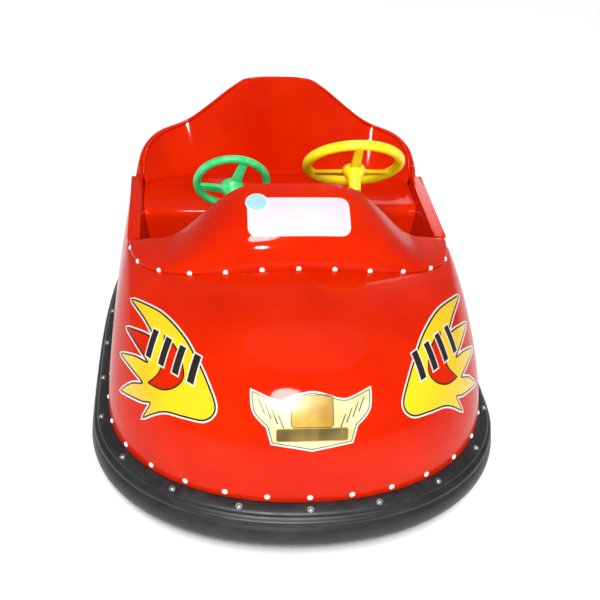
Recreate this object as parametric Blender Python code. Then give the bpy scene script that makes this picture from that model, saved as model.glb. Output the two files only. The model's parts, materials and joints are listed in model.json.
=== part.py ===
"""Two-seat battery bumper car for a fairground, modelled in metres.

The car faces -Y, +X is the driver's (left) side, +Z is up. The origin is on the floor,
under the middle of the rubber bumper. Driving dimensions come first; every fit is
worked out from them and a named clearance.
"""
import math

import bmesh
import bpy
from mathutils import Matrix, Vector

# ---------------------------------------------------------------- driving dimensions
LENGTH = 1.564            # over the rubber bumper
WIDTH = 1.014             # over the rubber bumper
RING_POINTS = 60          # points round each plan outline

GAP = 0.0003              # between pieces that rest on each other
SKIN = 0.006              # fibreglass wall
PLATE = 0.008             # floor, dash and bulkhead boards
LAP = 0.012               # flange along the seam and the sill

RUBBER_DEPTH = 0.050      # how far the bumper stands out from the rivet line
FRONT_POWER = 2.15        # how square the nose is, 2 is an ellipse
TAIL_POWER = 3.0          # how square the tail is
WAIST_Y = -0.352          # where the plan is widest
SIDE_POWER = 1.55         # roundness of the shell's section at the sides and tail
NOSE_FULLNESS = 0.85      # added to it at the nose, which is fuller

SHELL_FOOT_Z = 0.198      # lower edge of the body shell
SHELL_FOOT_STRIP = 0.022  # upright strip that takes the lower rivets
SILL_Z = 0.485            # top of the side walls
SEAM_RISE = 0.063         # how much the riveted seam arches over the bonnet
SEAM_NOSE_Y = -0.315
SEAM_HALF_WIDTH = 0.412
SEAM_TAIL_Y = 0.560
SEAM_FRONT_POWER = 3.4
SEAM_TAIL_POWER = 5.0
SEAM_ARCH_START = 0.2     # cosine of the plan angle where the arch begins

DASH_Y = -0.140           # rear edge of the cowl
DASH_HALF_WIDTH = 0.385
DASH_EDGE_Z = 0.500       # cowl edge at the shoulders
DASH_RISE = 0.190         # extra height in the middle
DASH_FLAT_X = 0.100       # half the level part of the cowl's edge
DASH_FOOT_X = 0.370       # where the edge has come down to the shoulders
DASH_SWEEP = 0.060        # how far the edge swings back at the shoulders
COWL_POWER = 1.8
DASH_BOTTOM_Z = 0.440
BULKHEAD_TOP_Z = 0.375

SEAT_TOP_Y = 0.425
SEAT_HALF_WIDTH = 0.392
SEAT_SHOULDER_Z = 0.595
SEAT_RISE = 0.145
CROWN_FLAT_X = 0.050      # half the level part of the crown
CROWN_FOOT_X = 0.310      # where the crown has come down to the shoulders
SHOULDER_X = 0.290        # where the rounded shoulders begin
SHOULDER_DROP = 0.085
SHOULDER_POWER = 2.2
SEAT_WRAP = 0.115         # how far the ends of the seat back come forward
SEAT_WRAP_POWER = 6
SEAT_RAKE = 0.065         # how far the foot stands ahead of the top edge
SEAT_FOOT_WRAP = 0.050    # how much of that rake is taken back at the ends
SEAT_FOOT_SHARE = 0.96    # width of the foot as a share of the top's
REAR_COWL_POWER = 1.5
REAR_COWL_LAP = 0.003     # the rear skin starts two walls behind the seat's face, less this

BENCH_Z = 0.465
BENCH_FRONT_Y = 0.150
BENCH_REAR_Y = 0.385
BENCH_NOSE_RADIUS = 0.030

FLOOR_FRONT_Y = -0.335
TUB_FOOT_HALF_WIDTH = 0.340
TUB_TOP_HALF_WIDTH = 0.385

BAND_THICKNESS = 0.005
BAND_BOTTOM_Z = 0.085
BAND_TOP_Z = 0.216
BUMPER_BOTTOM_Z = 0.080

RAIL_X = 0.200
RAIL_SIZE = 0.040
RAIL_FRONT_Y = -0.660
RAIL_REAR_Y = 0.655
BEAM_HEIGHT = 0.0397      # cross-members hang under the rails
BEAM_WIDTH = 0.040
FRONT_BEAM_Y = -0.340     # front edges of the two middle cross-members
MID_BEAM_Y = 0.080
BEAM_END_CLEARANCE = 0.0025

REAR_WHEEL_RADIUS = 0.100
REAR_WHEEL_WIDTH = 0.045
REAR_WHEEL_X = 0.262
REAR_AXLE_Y = 0.460
REAR_AXLE_RADIUS = 0.010
AXLE_OVERHANG = 0.030     # past the middle of each wheel
AXLE_DROP = 0.015         # between the axle and the underside of the rails
BRACKET_WIDTH = 0.030
BRACKET_LENGTH = 0.044
BRACKET_LIP = 0.006       # below the axle
TYRE_CLEARANCE = 0.005

DRIVE_Y = -0.480
DRIVE_WHEEL_RADIUS = 0.100
DRIVE_WHEEL_WIDTH = 0.050
DRIVE_AXLE_RADIUS = 0.008
RIM_SHARE = 0.62          # rim radius as a share of the wheel's
WHEEL_STEPS = 32          # flats round a rim and its tyre
FORK_CROWN_Z = 0.225
FORK_CROWN_HEIGHT = 0.020
FORK_LENGTH = 0.044       # along the car
FORK_LEG = 0.008
FORK_LEG_CLEARANCE = 0.006
FORK_FOOT = 0.020         # leg below the axle
FORK_DISC_RADIUS = 0.042
STEM_RADIUS = 0.0145
STEM_TOP_Z = 0.300
STEM_CLEARANCE = 0.001
WELL_TOP_Z = 0.306        # the stem's well in the steering case
MOUNT_PLATE_Z = 0.262
MOUNT_PLATE_LENGTH = 0.120
MOUNT_LEG_OUT = 0.015     # the bridge's legs, outside and inside the rail's middle
MOUNT_LEG_IN = 0.005
MOTOR_RADIUS = 0.050
MOTOR_END_X = 0.108
MOTOR_LIFT = 0.010        # motor's middle above the drive axle
CASE_TOP_Z = 0.330
CASE_SIDE_X = 0.045       # past the stem on the far side
CASE_PAST_SHAFT = 0.040
CASE_AHEAD = 0.055
CASE_BEHIND = 0.085

DRIVER_HUB = Vector((0.157, -0.050, 0.679))
DRIVER_TILT = math.radians(48)       # wheel plane from level
DRIVER_DIAMETER = 0.261
DRIVER_TUBE = 0.0125
PASSENGER_HUB = Vector((-0.150, -0.050, 0.631))
PASSENGER_TILT = math.radians(66)
PASSENGER_TURN = math.radians(20)
PASSENGER_DIAMETER = 0.196
PASSENGER_TUBE = 0.0100
SHAFT_RADIUS = 0.010
RUNNING_GAP = 0.0006      # round a shaft in its tube
TUBE_WALL = 0.004
TUBE_TOP = 0.062          # top end of the column tubes, below the hub
TUBE_HOLE_CLEARANCE = 0.001
DRIVER_SHAFT_REACH = 0.545
DRIVER_TUBE_REACH = 0.260
PASSENGER_SHAFT_REACH = 0.180
PASSENGER_TUBE_REACH = 0.190

BATTERY_LENGTH = 0.170
BATTERY_WIDTH = 0.190
BATTERY_TOP_Z = 0.370
BATTERY_FRONT_Y = 0.168
BATTERY_LEFT_X = 0.040    # nearest edge of each to the driver's side
BATTERY_RIGHT_X = -0.230

PEDAL_WIDTH = 0.075
PEDAL_FRONT_Y = -0.285
PEDAL_REAR_Y = -0.175
PEDAL_HEIGHT = 0.070
PEDAL_BASE = 0.010

# worked out from the rear wheels upwards
RAIL_BOTTOM_Z = REAR_WHEEL_RADIUS + REAR_AXLE_RADIUS + AXLE_DROP
RAIL_TOP_Z = RAIL_BOTTOM_Z + RAIL_SIZE
FLOOR_Z = RAIL_TOP_Z + GAP + PLATE
TYRE_HEADROOM = RAIL_TOP_Z - REAR_WHEEL_RADIUS - TYRE_CLEARANCE
FLOOR_REAR_Y = REAR_AXLE_Y - math.sqrt(REAR_WHEEL_RADIUS ** 2 - TYRE_HEADROOM ** 2)

# ---------------------------------------------------------------- materials
COLOURS = {
    "gelcoat": ((0.80, 0.045, 0.012), 0.22, 0.0),
    "rubber": ((0.025, 0.025, 0.027), 0.75, 0.0),
    "yellow_plastic": ((0.85, 0.62, 0.01), 0.35, 0.0),
    "green_plastic": ((0.05, 0.42, 0.16), 0.38, 0.0),
    "black_steel": ((0.030, 0.031, 0.034), 0.55, 0.6),
    "zinc_steel": ((0.55, 0.56, 0.58), 0.38, 1.0),
    "cast_alloy": ((0.45, 0.46, 0.47), 0.45, 1.0),
    "battery_case": ((0.04, 0.05, 0.09), 0.50, 0.0),
    "motor_paint": ((0.10, 0.11, 0.12), 0.45, 0.3),
    "pedal_rubber": ((0.03, 0.03, 0.03), 0.80, 0.0),
}


def material(finish):
    """One Principled material for each finish, made the first time it is asked for."""
    found = bpy.data.materials.get(finish)
    if found:
        return found
    colour, roughness, metallic = COLOURS[finish]
    made = bpy.data.materials.new(finish)
    made.use_nodes = True
    shader = made.node_tree.nodes["Principled BSDF"]
    shader.inputs["Base Color"].default_value = (*colour, 1.0)
    shader.inputs["Roughness"].default_value = roughness
    shader.inputs["Metallic"].default_value = metallic
    return made


# ---------------------------------------------------------------- small tools
def add_object(name, mesh, finish, smooth_angle=35):
    """Put a mesh in the scene as one named piece."""
    piece = bpy.data.objects.new(name, mesh)
    bpy.context.scene.collection.objects.link(piece)
    mesh.materials.append(material(finish))
    mesh.shade_smooth()
    mesh.set_sharp_from_angle(angle=math.radians(smooth_angle))
    return piece


def mesh_of(name, shape):
    """Turn a bmesh into a mesh with its faces pointing out."""
    bmesh.ops.recalc_face_normals(shape, faces=shape.faces)
    mesh = bpy.data.meshes.new(name)
    shape.to_mesh(mesh)
    shape.free()
    return mesh


def box_mesh(name, low, high):
    shape = bmesh.new()
    bmesh.ops.create_cube(shape, size=1.0)
    low, high = Vector(low), Vector(high)
    for vertex in shape.verts:
        vertex.co = Vector([(low[i] + high[i]) / 2 + vertex.co[i] * (high[i] - low[i]) for i in range(3)])
    return mesh_of(name, shape)


def box(name, low, high, finish, bevel=0.0):
    """A block between two corners, its edges eased if a bevel is given."""
    piece = add_object(name, box_mesh(name, low, high), finish)
    if bevel:
        ease = piece.modifiers.new("eased_edges", "BEVEL")
        ease.width = bevel
        ease.segments = 2
    return piece


def turned(name, profile, steps=24):
    """A closed profile of (radius, height) points spun round Z."""
    shape = bmesh.new()
    rings = []
    for step in range(steps):
        angle = 2 * math.pi * step / steps
        ring = [shape.verts.new((r * math.cos(angle), r * math.sin(angle), h)) for r, h in profile]
        rings.append(ring)
    count = len(profile)
    for step in range(steps):
        here, there = rings[step], rings[(step + 1) % steps]
        for i in range(count):
            j = (i + 1) % count
            shape.faces.new((here[i], there[i], there[j], here[j]))
    return mesh_of(name, shape)


def rod(name, radius, low, high, steps=24):
    """A plain cylinder along Z between two heights."""
    shape = bmesh.new()
    bmesh.ops.create_cone(shape, cap_ends=True, segments=steps, radius1=radius, radius2=radius,
                          depth=high - low, matrix=Matrix.Translation((0, 0, (low + high) / 2)))
    return mesh_of(name, shape)


def extruded(name, outline, thickness, place):
    """A flat outline of (u, v) points pushed to a thickness; place maps (u, v, w) to a point."""
    shape = bmesh.new()
    front = [shape.verts.new(place(u, v, 0.0)) for u, v in outline]
    back = [shape.verts.new(place(u, v, thickness)) for u, v in outline]
    shape.faces.new(front)
    shape.faces.new(list(reversed(back)))
    count = len(outline)
    for i in range(count):
        j = (i + 1) % count
        shape.faces.new((front[i], back[i], back[j], front[j]))
    return mesh_of(name, shape)


def tool_object(name, mesh):
    """A cutter or an adder that never shows by itself."""
    tool = bpy.data.objects.new(name, mesh)
    bpy.context.scene.collection.objects.link(tool)
    tool.hide_render = True
    tool.display_type = "WIRE"
    return tool


def boolean(piece, tool, operation):
    step = piece.modifiers.new(tool.name, "BOOLEAN")
    step.operation = operation
    step.solver = "EXACT"
    step.object = tool


def grid_skin(name, rows, closed, finish, thickness=SKIN, inward=-1.0):
    """A sheet through rows of points, given its wall by Solidify."""
    shape = bmesh.new()
    grid = [[shape.verts.new(point) for point in row] for row in rows]
    count = len(grid[0])
    for low, high in zip(grid, grid[1:]):
        for i in range(count if closed else count - 1):
            j = (i + 1) % count
            shape.faces.new((low[i], low[j], high[j], high[i]))
    mesh = bpy.data.meshes.new(name)
    shape.to_mesh(mesh)
    shape.free()
    piece = add_object(name, mesh, finish)
    wall = piece.modifiers.new("wall", "SOLIDIFY")
    wall.thickness = thickness
    wall.offset = inward
    wall.use_even_offset = True
    return piece


def spread(start, stop, count):
    """Evenly spaced values, both ends included."""
    return [start + (stop - start) * i / (count - 1) for i in range(count)]


# ---------------------------------------------------------------- plan outlines
def signed_power(value, power):
    return math.copysign(abs(value) ** power, value)


def plan_point(angle, half_width, nose, tail, waist, front_power, tail_power):
    """A point of a superellipse plan; angle 0 is the nose, half a turn is the tail."""
    aside, ahead = math.sin(angle), math.cos(angle)
    power = front_power if ahead > 0 else tail_power
    reach = (waist - nose) if ahead > 0 else (tail - waist)
    radius = (abs(aside) ** power + abs(ahead) ** power) ** (-1 / power)
    return half_width * radius * aside, waist - reach * radius * ahead


RIVET_HALF_WIDTH = WIDTH / 2 - RUBBER_DEPTH
RIVET_NOSE = -LENGTH / 2 + RUBBER_DEPTH
RIVET_TAIL = LENGTH / 2 - RUBBER_DEPTH
RING_ANGLES = [2 * math.pi * i / RING_POINTS for i in range(RING_POINTS)]


def foot_point(angle, offset):
    """The rivet line's plan, moved out by an offset."""
    return plan_point(angle, RIVET_HALF_WIDTH + offset, RIVET_NOSE - offset, RIVET_TAIL + offset,
                      WAIST_Y, FRONT_POWER, TAIL_POWER)


def foot_half_width(y, offset):
    """Half the width of that plan at a given y."""
    reach = (WAIST_Y - RIVET_NOSE) if y < WAIST_Y else (RIVET_TAIL - WAIST_Y)
    power = FRONT_POWER if y < WAIST_Y else TAIL_POWER
    share = min(1.0, abs(y - WAIST_Y) / (reach + offset))
    return (RIVET_HALF_WIDTH + offset) * (1 - share ** power) ** (1 / power)


def seam_point(angle, offset=0.0):
    """The riveted seam in front and the sill behind it, as one loop."""
    x, y = plan_point(angle, SEAM_HALF_WIDTH + offset, SEAM_NOSE_Y - offset, SEAM_TAIL_Y + offset,
                      0.0, SEAM_FRONT_POWER, SEAM_TAIL_POWER)
    arch = max(0.0, (math.cos(angle) - SEAM_ARCH_START) / (1 - SEAM_ARCH_START)) ** 2
    return x, y, SILL_Z + SEAM_RISE * arch


def bell(x, flat, foot):
    """1 in the middle, easing to 0 at the foot."""
    share = min(1.0, max(0.0, (abs(x) - flat) / (foot - flat)))
    return 0.5 * (1 + math.cos(math.pi * share))


def dash_edge_z(x):
    return DASH_EDGE_Z + DASH_RISE * bell(x, DASH_FLAT_X, DASH_FOOT_X)


def seat_edge_z(x):
    """The seat back's crown with its rounded shoulders."""
    crown = SEAT_SHOULDER_Z + SEAT_RISE * bell(x, CROWN_FLAT_X, CROWN_FOOT_X)
    corner = min(1.0, max(0.0, (abs(x) - SHOULDER_X) / (SEAT_HALF_WIDTH - SHOULDER_X)))
    return crown - SHOULDER_DROP * (1 - (1 - corner ** SHOULDER_POWER) ** (1 / SHOULDER_POWER))


def tub_half_width(z):
    """Inner half-width of the cockpit, wider at the sill."""
    share = (z - FLOOR_Z) / (SILL_Z - FLOOR_Z)
    return TUB_FOOT_HALF_WIDTH + (TUB_TOP_HALF_WIDTH - TUB_FOOT_HALF_WIDTH) * share


# ---------------------------------------------------------------- body shells
def ring_of_section(name, section, finish):
    """A closed ring that carries one section of (offset, height) points round the plan."""
    shape = bmesh.new()
    grid = []
    for offset, height in section:
        row = []
        for angle in RING_ANGLES:
            x, y = foot_point(angle, offset)
            row.append(shape.verts.new((x, y, height)))
        grid.append(row)
    for i, row in enumerate(grid):
        above = grid[(i + 1) % len(grid)]
        for k in range(RING_POINTS):
            m = (k + 1) % RING_POINTS
            shape.faces.new((row[k], row[m], above[m], above[k]))
    return add_object(name, mesh_of(name, shape), finish)


FOOT_OFFSET = 0.004       # shell foot outside the rivet line
BAND_CLEARANCE = 0.001    # between the hoop and the inside of the shell
BAND_OUTER = FOOT_OFFSET - SKIN - BAND_CLEARANCE
BUMPER_INNER = BAND_OUTER + GAP


# the rubber's upper half as (offset from the rivet line, depth below its top)
FLANGE_PROFILE = [(0.012, 0.0), (0.031, 0.008), (0.034, 0.014), (0.030, 0.019), (0.035, 0.024),
                  (0.042, 0.027), (0.044, 0.036), (0.040, 0.041)]
BELLY_OFFSET = 0.022      # middle of the fat rounded part
BELLY_HEIGHT = 0.046      # above the underside
BELLY_BULGE = RUBBER_DEPTH - BELLY_OFFSET
BELLY_HALF_HEIGHT = 0.036
BELLY_ARC = (math.radians(62), math.radians(-75))


def bumper_ring():
    """Rubber ring: bolted flange on top, two grooves, then the fat rounded belly."""
    top = SHELL_FOOT_Z - GAP
    low = BUMPER_BOTTOM_Z
    section = [(BUMPER_INNER, low), (BUMPER_INNER, top)]
    section += [(offset, top - depth) for offset, depth in FLANGE_PROFILE]
    for angle in spread(*BELLY_ARC, 5):
        section.append((BELLY_OFFSET + BELLY_BULGE * math.cos(angle),
                        low + BELLY_HEIGHT + BELLY_HALF_HEIGHT * math.sin(angle)))
    section.append((BELLY_OFFSET, low))
    ring_of_section("bumper_ring", section, "rubber")


def bumper_mount_band():
    """Flat steel hoop that carries the rubber, the shell and the cross-members."""
    inner = BAND_OUTER - BAND_THICKNESS
    section = [(inner, BAND_BOTTOM_Z), (inner, BAND_TOP_Z)]
    section += [(BAND_OUTER, BAND_TOP_Z), (BAND_OUTER, BAND_BOTTOM_Z)]
    ring_of_section("bumper_mount_band", section, "black_steel")


def lower_shell():
    """Bonnet, sides and tail in one moulding, from the bumper up to the seam."""
    rows = [[(*foot_point(angle, FOOT_OFFSET), SHELL_FOOT_Z) for angle in RING_ANGLES]]
    strip_top = SHELL_FOOT_Z + SHELL_FOOT_STRIP
    for step in spread(0.0, 1.0, 8):
        turn = step * math.pi / 2
        row = []
        for angle in RING_ANGLES:
            foot_x, foot_y = foot_point(angle, FOOT_OFFSET)
            top_x, top_y, top_z = seam_point(angle)
            ahead = max(0.0, math.cos(angle)) ** 2
            power = SIDE_POWER + NOSE_FULLNESS * ahead
            inward = 1 - math.cos(turn) ** (2 / power)
            rise = math.sin(turn) ** (2 / power)
            row.append((foot_x + (top_x - foot_x) * inward, foot_y + (top_y - foot_y) * inward,
                        strip_top + (top_z - strip_top) * rise))
        rows.append(row)
    rows.append([seam_point(angle, -LAP) for angle in RING_ANGLES])
    grid_skin("lower_shell", rows, True, "gelcoat")


STEP_ANGLE = 2 * math.pi / RING_POINTS
COWL_STEPS = 13           # ring points on each side of the nose that the cowl covers
UPRIGHT = 0.006           # short upright foot of the upper mouldings
COWL_INSET = 0.001        # their feet stand this far inside the seam
REAR_INSET = 0.003
LEAST_ROLL = 0.008        # least height of the cowl above its foot


def cowl_shell():
    """Front upper moulding: rises from the seam and rolls over to the dash edge."""
    angles = [k * STEP_ANGLE for k in range(-COWL_STEPS, COWL_STEPS + 1)]
    rows = [[Vector(seam_point(angle, -COWL_INSET)) + Vector((0, 0, GAP)) for angle in angles]]
    for step in spread(0.0, 1.0, 7):
        turn = step * math.pi / 2
        inward = 1 - math.cos(turn) ** (2 / COWL_POWER)
        rise = math.sin(turn) ** (2 / COWL_POWER)
        row = []
        for foot in rows[0]:
            edge_x = DASH_HALF_WIDTH * foot.x / SEAM_HALF_WIDTH
            edge_y = DASH_Y + DASH_SWEEP * abs(edge_x / DASH_HALF_WIDTH) ** 4
            start_z = foot.z + UPRIGHT
            height = max(dash_edge_z(edge_x) - start_z, LEAST_ROLL)
            row.append((foot.x + (edge_x - foot.x) * inward, foot.y + (edge_y - foot.y) * inward,
                        start_z + height * rise))
        rows.append(row)
    grid_skin("cowl_shell", rows, False, "gelcoat")


# ---------------------------------------------------------------- cockpit
def tub_outline_panel(name, outline, side):
    """A board on the sloping side of the cockpit; outline is in (y, z)."""
    def place(y, z, w):
        return Vector((side * (tub_half_width(z) + w), y, z))
    return extruded(name, outline, SKIN, place)


SILL_TOP_Z = SILL_Z + GAP + SKIN
SIDE_REAR_Y = 0.300
SIDE_FRONT_Y = FLOOR_FRONT_Y + PLATE + GAP
SILL_FRONT_Y = -0.055     # where the sill flange begins, behind the cowl
SILL_STEP = 0.020         # the panel's edge below the sill ahead of that
TOE_Z = 0.360             # height of the panel at the bulkhead
FLANGE_OVERHANG = 0.005   # of the sill flange past the seam


def side_panel(name, side):
    """Inner wall of the cockpit, with the flange that laps over the sill."""
    foot = FLOOR_Z + GAP
    outline = [(SIDE_FRONT_Y, foot), (SIDE_REAR_Y, foot)]
    outline += [(SIDE_REAR_Y, SILL_TOP_Z), (SILL_FRONT_Y, SILL_TOP_Z)]
    outline += [(SILL_FRONT_Y, SILL_Z - SILL_STEP), (DASH_Y, SILL_Z - SILL_STEP), (SIDE_FRONT_Y, TOE_Z)]
    panel = add_object(name, tub_outline_panel(name, outline, side), "gelcoat")
    inner = side * (TUB_TOP_HALF_WIDTH + 0.001)
    outer = side * (SEAM_HALF_WIDTH + FLANGE_OVERHANG)
    low = (min(inner, outer), SILL_FRONT_Y + 0.001, SILL_Z + GAP)
    high = (max(inner, outer), SIDE_REAR_Y - 0.001, SILL_TOP_Z - 0.0002)
    flange = tool_object(name + "_flange", box_mesh(name + "_flange", low, high))
    boolean(panel, flange, "UNION")


def floor_pan():
    half = TUB_FOOT_HALF_WIDTH + SKIN
    low = (-half, FLOOR_FRONT_Y, FLOOR_Z - PLATE)
    box("floor_pan", low, (half, FLOOR_REAR_Y, FLOOR_Z), "black_steel")


def cross_board(name, y, outline, finish):
    """An upright board across the cockpit; outline is in (x, z)."""
    return add_object(name, extruded(name, outline, PLATE, lambda x, z, w: Vector((x, y + w, z))), finish)


def front_bulkhead():
    foot = FLOOR_Z + GAP
    low_half = tub_half_width(foot) - GAP
    high_half = tub_half_width(BULKHEAD_TOP_Z) - GAP
    outline = [(-low_half, foot), (low_half, foot)]
    outline += [(high_half, BULKHEAD_TOP_Z), (-high_half, BULKHEAD_TOP_Z)]
    cross_board("front_bulkhead", FLOOR_FRONT_Y, outline, "gelcoat")


DASH_BOARD_Y = DASH_Y - 0.018
DASH_SHOULDER_Z = SILL_Z - 0.010
DASH_SHOULDER_CLEARANCE = 0.004
DASH_ARCH_X = 0.365       # half the part of the board that follows the cowl's edge
DASH_TOP_CLEARANCE = 0.0058
DASH_ARCH_POINTS = 31
SLOPE_STEP = 0.001


def dash_panel():
    """Board behind the cowl that carries both steering columns."""
    half = tub_half_width(DASH_BOTTOM_Z) - GAP
    shoulder = tub_half_width(DASH_SHOULDER_Z) - DASH_SHOULDER_CLEARANCE
    outline = [(-half, DASH_BOTTOM_Z), (half, DASH_BOTTOM_Z), (shoulder, DASH_SHOULDER_Z)]
    for x in spread(DASH_ARCH_X, -DASH_ARCH_X, DASH_ARCH_POINTS):
        slope = (dash_edge_z(x + SLOPE_STEP) - dash_edge_z(x - SLOPE_STEP)) / (2 * SLOPE_STEP)
        outline.append((x, dash_edge_z(x) - SKIN * math.sqrt(1 + slope ** 2) - DASH_TOP_CLEARANCE))
    outline.append((-shoulder, DASH_SHOULDER_Z))
    panel = cross_board("dash_panel", DASH_BOARD_Y, outline, "gelcoat")
    for name, hub, tilt, radius in COLUMNS:
        hole_mesh = rod(name + "_dash_hole", radius + TUBE_HOLE_CLEARANCE, -0.30, -0.06)
        hole = tool_object(name + "_dash_hole", hole_mesh)
        hole.location = hub
        hole.rotation_euler = (-tilt, 0, 0)
        boolean(panel, hole, "DIFFERENCE")


def bench_seat():
    """Moulded bench: upright front, rounded front edge, level top."""
    foot = FLOOR_Z + GAP
    radius = BENCH_NOSE_RADIUS
    corner_y, corner_z = BENCH_FRONT_Y + radius, BENCH_Z - radius
    outer = [(BENCH_FRONT_Y, foot)]
    for angle in spread(math.pi, math.pi / 2, 5):
        outer.append((corner_y + radius * math.cos(angle), corner_z + radius * math.sin(angle)))
    outer.append((BENCH_REAR_Y, BENCH_Z))
    inner = [(BENCH_REAR_Y, BENCH_Z - PLATE)]
    tight = radius - PLATE
    for angle in spread(math.pi / 2, math.pi, 5):
        inner.append((corner_y + tight * math.cos(angle), corner_z + tight * math.sin(angle)))
    inner.append((BENCH_FRONT_Y + PLATE, foot))
    section = outer + inner
    shape = bmesh.new()
    ends = []
    for side in (-1, 1):
        ends.append([shape.verts.new((side * (tub_half_width(z) - GAP), y, z)) for y, z in section])
    shape.faces.new(ends[0])
    shape.faces.new(list(reversed(ends[1])))
    for i in range(len(section)):
        j = (i + 1) % len(section)
        shape.faces.new((ends[0][i], ends[1][i], ends[1][j], ends[0][j]))
    add_object("bench_seat", mesh_of("bench_seat", shape), "gelcoat")


SEAT_STEPS = 20           # half ring steps on each side of the tail that the seat back covers
SWEEPS = [k * STEP_ANGLE / 2 for k in range(-SEAT_STEPS, SEAT_STEPS + 1)]
SWEEP_POWER = 0.9         # spaces the steps a little closer towards the ends
SWEEP_STEP = 0.01         # for the direction of the edge


def seat_edge(sweep):
    """Top edge of the seat back, wrapping forward at the corners."""
    share = signed_power(math.sin(sweep) / math.sin(SWEEPS[-1]), SWEEP_POWER)
    x = SEAT_HALF_WIDTH * share
    return Vector((x, SEAT_TOP_Y - SEAT_WRAP * abs(share) ** SEAT_WRAP_POWER, seat_edge_z(x)))


def seat_back():
    """Front skin of the seat back, from the bench up to the crown."""
    tops = [seat_edge(sweep) for sweep in SWEEPS]
    feet = []
    for top in tops:
        aside = abs(top.x / SEAT_HALF_WIDTH) ** SEAT_WRAP_POWER
        foot_y = top.y - SEAT_RAKE + SEAT_FOOT_WRAP * aside
        feet.append(Vector((top.x * SEAT_FOOT_SHARE, foot_y, BENCH_Z + GAP)))
    rows = [feet]
    for height in spread(0.0, 1.0, 5):
        lift = Vector((0, 0, UPRIGHT))
        rows.append([(foot + lift).lerp(top, height) for foot, top in zip(feet, tops)])
    grid_skin("seat_back", rows, False, "gelcoat")


def rear_cowl():
    """Rear skin, from the top of the seat back down to the tail of the sill."""
    sweeps = list(reversed(SWEEPS))
    feet = [Vector(seam_point(math.pi - sweep, -REAR_INSET)) + Vector((0, 0, GAP)) for sweep in sweeps]
    rows = [feet]
    for step in spread(0.0, 1.0, 6):
        turn = step * math.pi / 2
        back = math.cos(turn) ** (2 / REAR_COWL_POWER)
        rise = math.sin(turn) ** (2 / REAR_COWL_POWER)
        row = []
        for sweep, foot in zip(sweeps, feet):
            edge = seat_edge(sweep)
            ahead = seat_edge(sweep + SWEEP_STEP) - seat_edge(sweep - SWEEP_STEP)
            away = Vector((-ahead.y, ahead.x, 0.0)).normalized()
            top = edge + away * (2 * SKIN - REAR_COWL_LAP)
            start_z = foot.z + UPRIGHT
            row.append((top.x + (foot.x - top.x) * back, top.y + (foot.y - top.y) * back,
                        start_z + (top.z - start_z) * rise))
        rows.append(row)
    grid_skin("rear_cowl", rows, False, "gelcoat")


def batteries():
    """Two heavy traction batteries under the bench."""
    for name, low_x in (("battery_left", BATTERY_LEFT_X), ("battery_right", BATTERY_RIGHT_X)):
        low = (low_x, BATTERY_FRONT_Y, FLOOR_Z + GAP)
        high = (low_x + BATTERY_WIDTH, BATTERY_FRONT_Y + BATTERY_LENGTH, BATTERY_TOP_Z)
        box(name, low, high, "battery_case", 0.004)


def accelerator_pedal():
    """Foot pedal on its base, at the driver's feet."""
    foot = FLOOR_Z + GAP
    top = foot + PEDAL_HEIGHT
    outline = [(PEDAL_FRONT_Y, foot), (PEDAL_REAR_Y, foot), (PEDAL_REAR_Y, foot + PEDAL_BASE)]
    outline += [(PEDAL_FRONT_Y + 0.015, top), (PEDAL_FRONT_Y, top - 0.010)]
    low_x = DRIVER_HUB.x + 0.010
    mesh = extruded("accelerator_pedal", outline, PEDAL_WIDTH, lambda y, z, w: Vector((low_x + w, y, z)))
    add_object("accelerator_pedal", mesh, "pedal_rubber")


# ---------------------------------------------------------------- chassis
def rails():
    for name, side in (("chassis_rail_left", 1), ("chassis_rail_right", -1)):
        x = side * RAIL_X
        low = (x - RAIL_SIZE / 2, RAIL_FRONT_Y, RAIL_BOTTOM_Z)
        high = (x + RAIL_SIZE / 2, RAIL_REAR_Y, RAIL_TOP_Z)
        box(name, low, high, "black_steel", 0.002)


def cross_member(name, front_y):
    """A beam under the rails, from one side of the hoop to the other."""
    rear_y = front_y + BEAM_WIDTH
    inner = BAND_OUTER - BAND_THICKNESS - BEAM_END_CLEARANCE
    half = min(foot_half_width(front_y, inner), foot_half_width(rear_y, inner))
    top = RAIL_BOTTOM_Z - GAP
    box(name, (-half, front_y, top - BEAM_HEIGHT), (half, rear_y, top), "black_steel")


def rear_axle():
    """Dead axle in two brackets under the rails."""
    end = REAR_WHEEL_X + AXLE_OVERHANG
    bar = rod("rear_axle", REAR_AXLE_RADIUS, -end, end)
    bar.transform(Matrix.Rotation(math.pi / 2, 4, "Y"))
    bar.transform(Matrix.Translation((0, REAR_AXLE_Y, REAR_WHEEL_RADIUS)))
    axle = add_object("rear_axle", bar, "zinc_steel")
    for side in (-1, 1):
        low = (side * RAIL_X - BRACKET_WIDTH / 2, REAR_AXLE_Y - BRACKET_LENGTH / 2,
               REAR_WHEEL_RADIUS - REAR_AXLE_RADIUS - BRACKET_LIP)
        high = (side * RAIL_X + BRACKET_WIDTH / 2, REAR_AXLE_Y + BRACKET_LENGTH / 2, RAIL_BOTTOM_Z - GAP)
        name = "axle_bracket_%d" % (side + 1)
        boolean(axle, tool_object(name, box_mesh(name, low, high)), "UNION")


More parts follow.
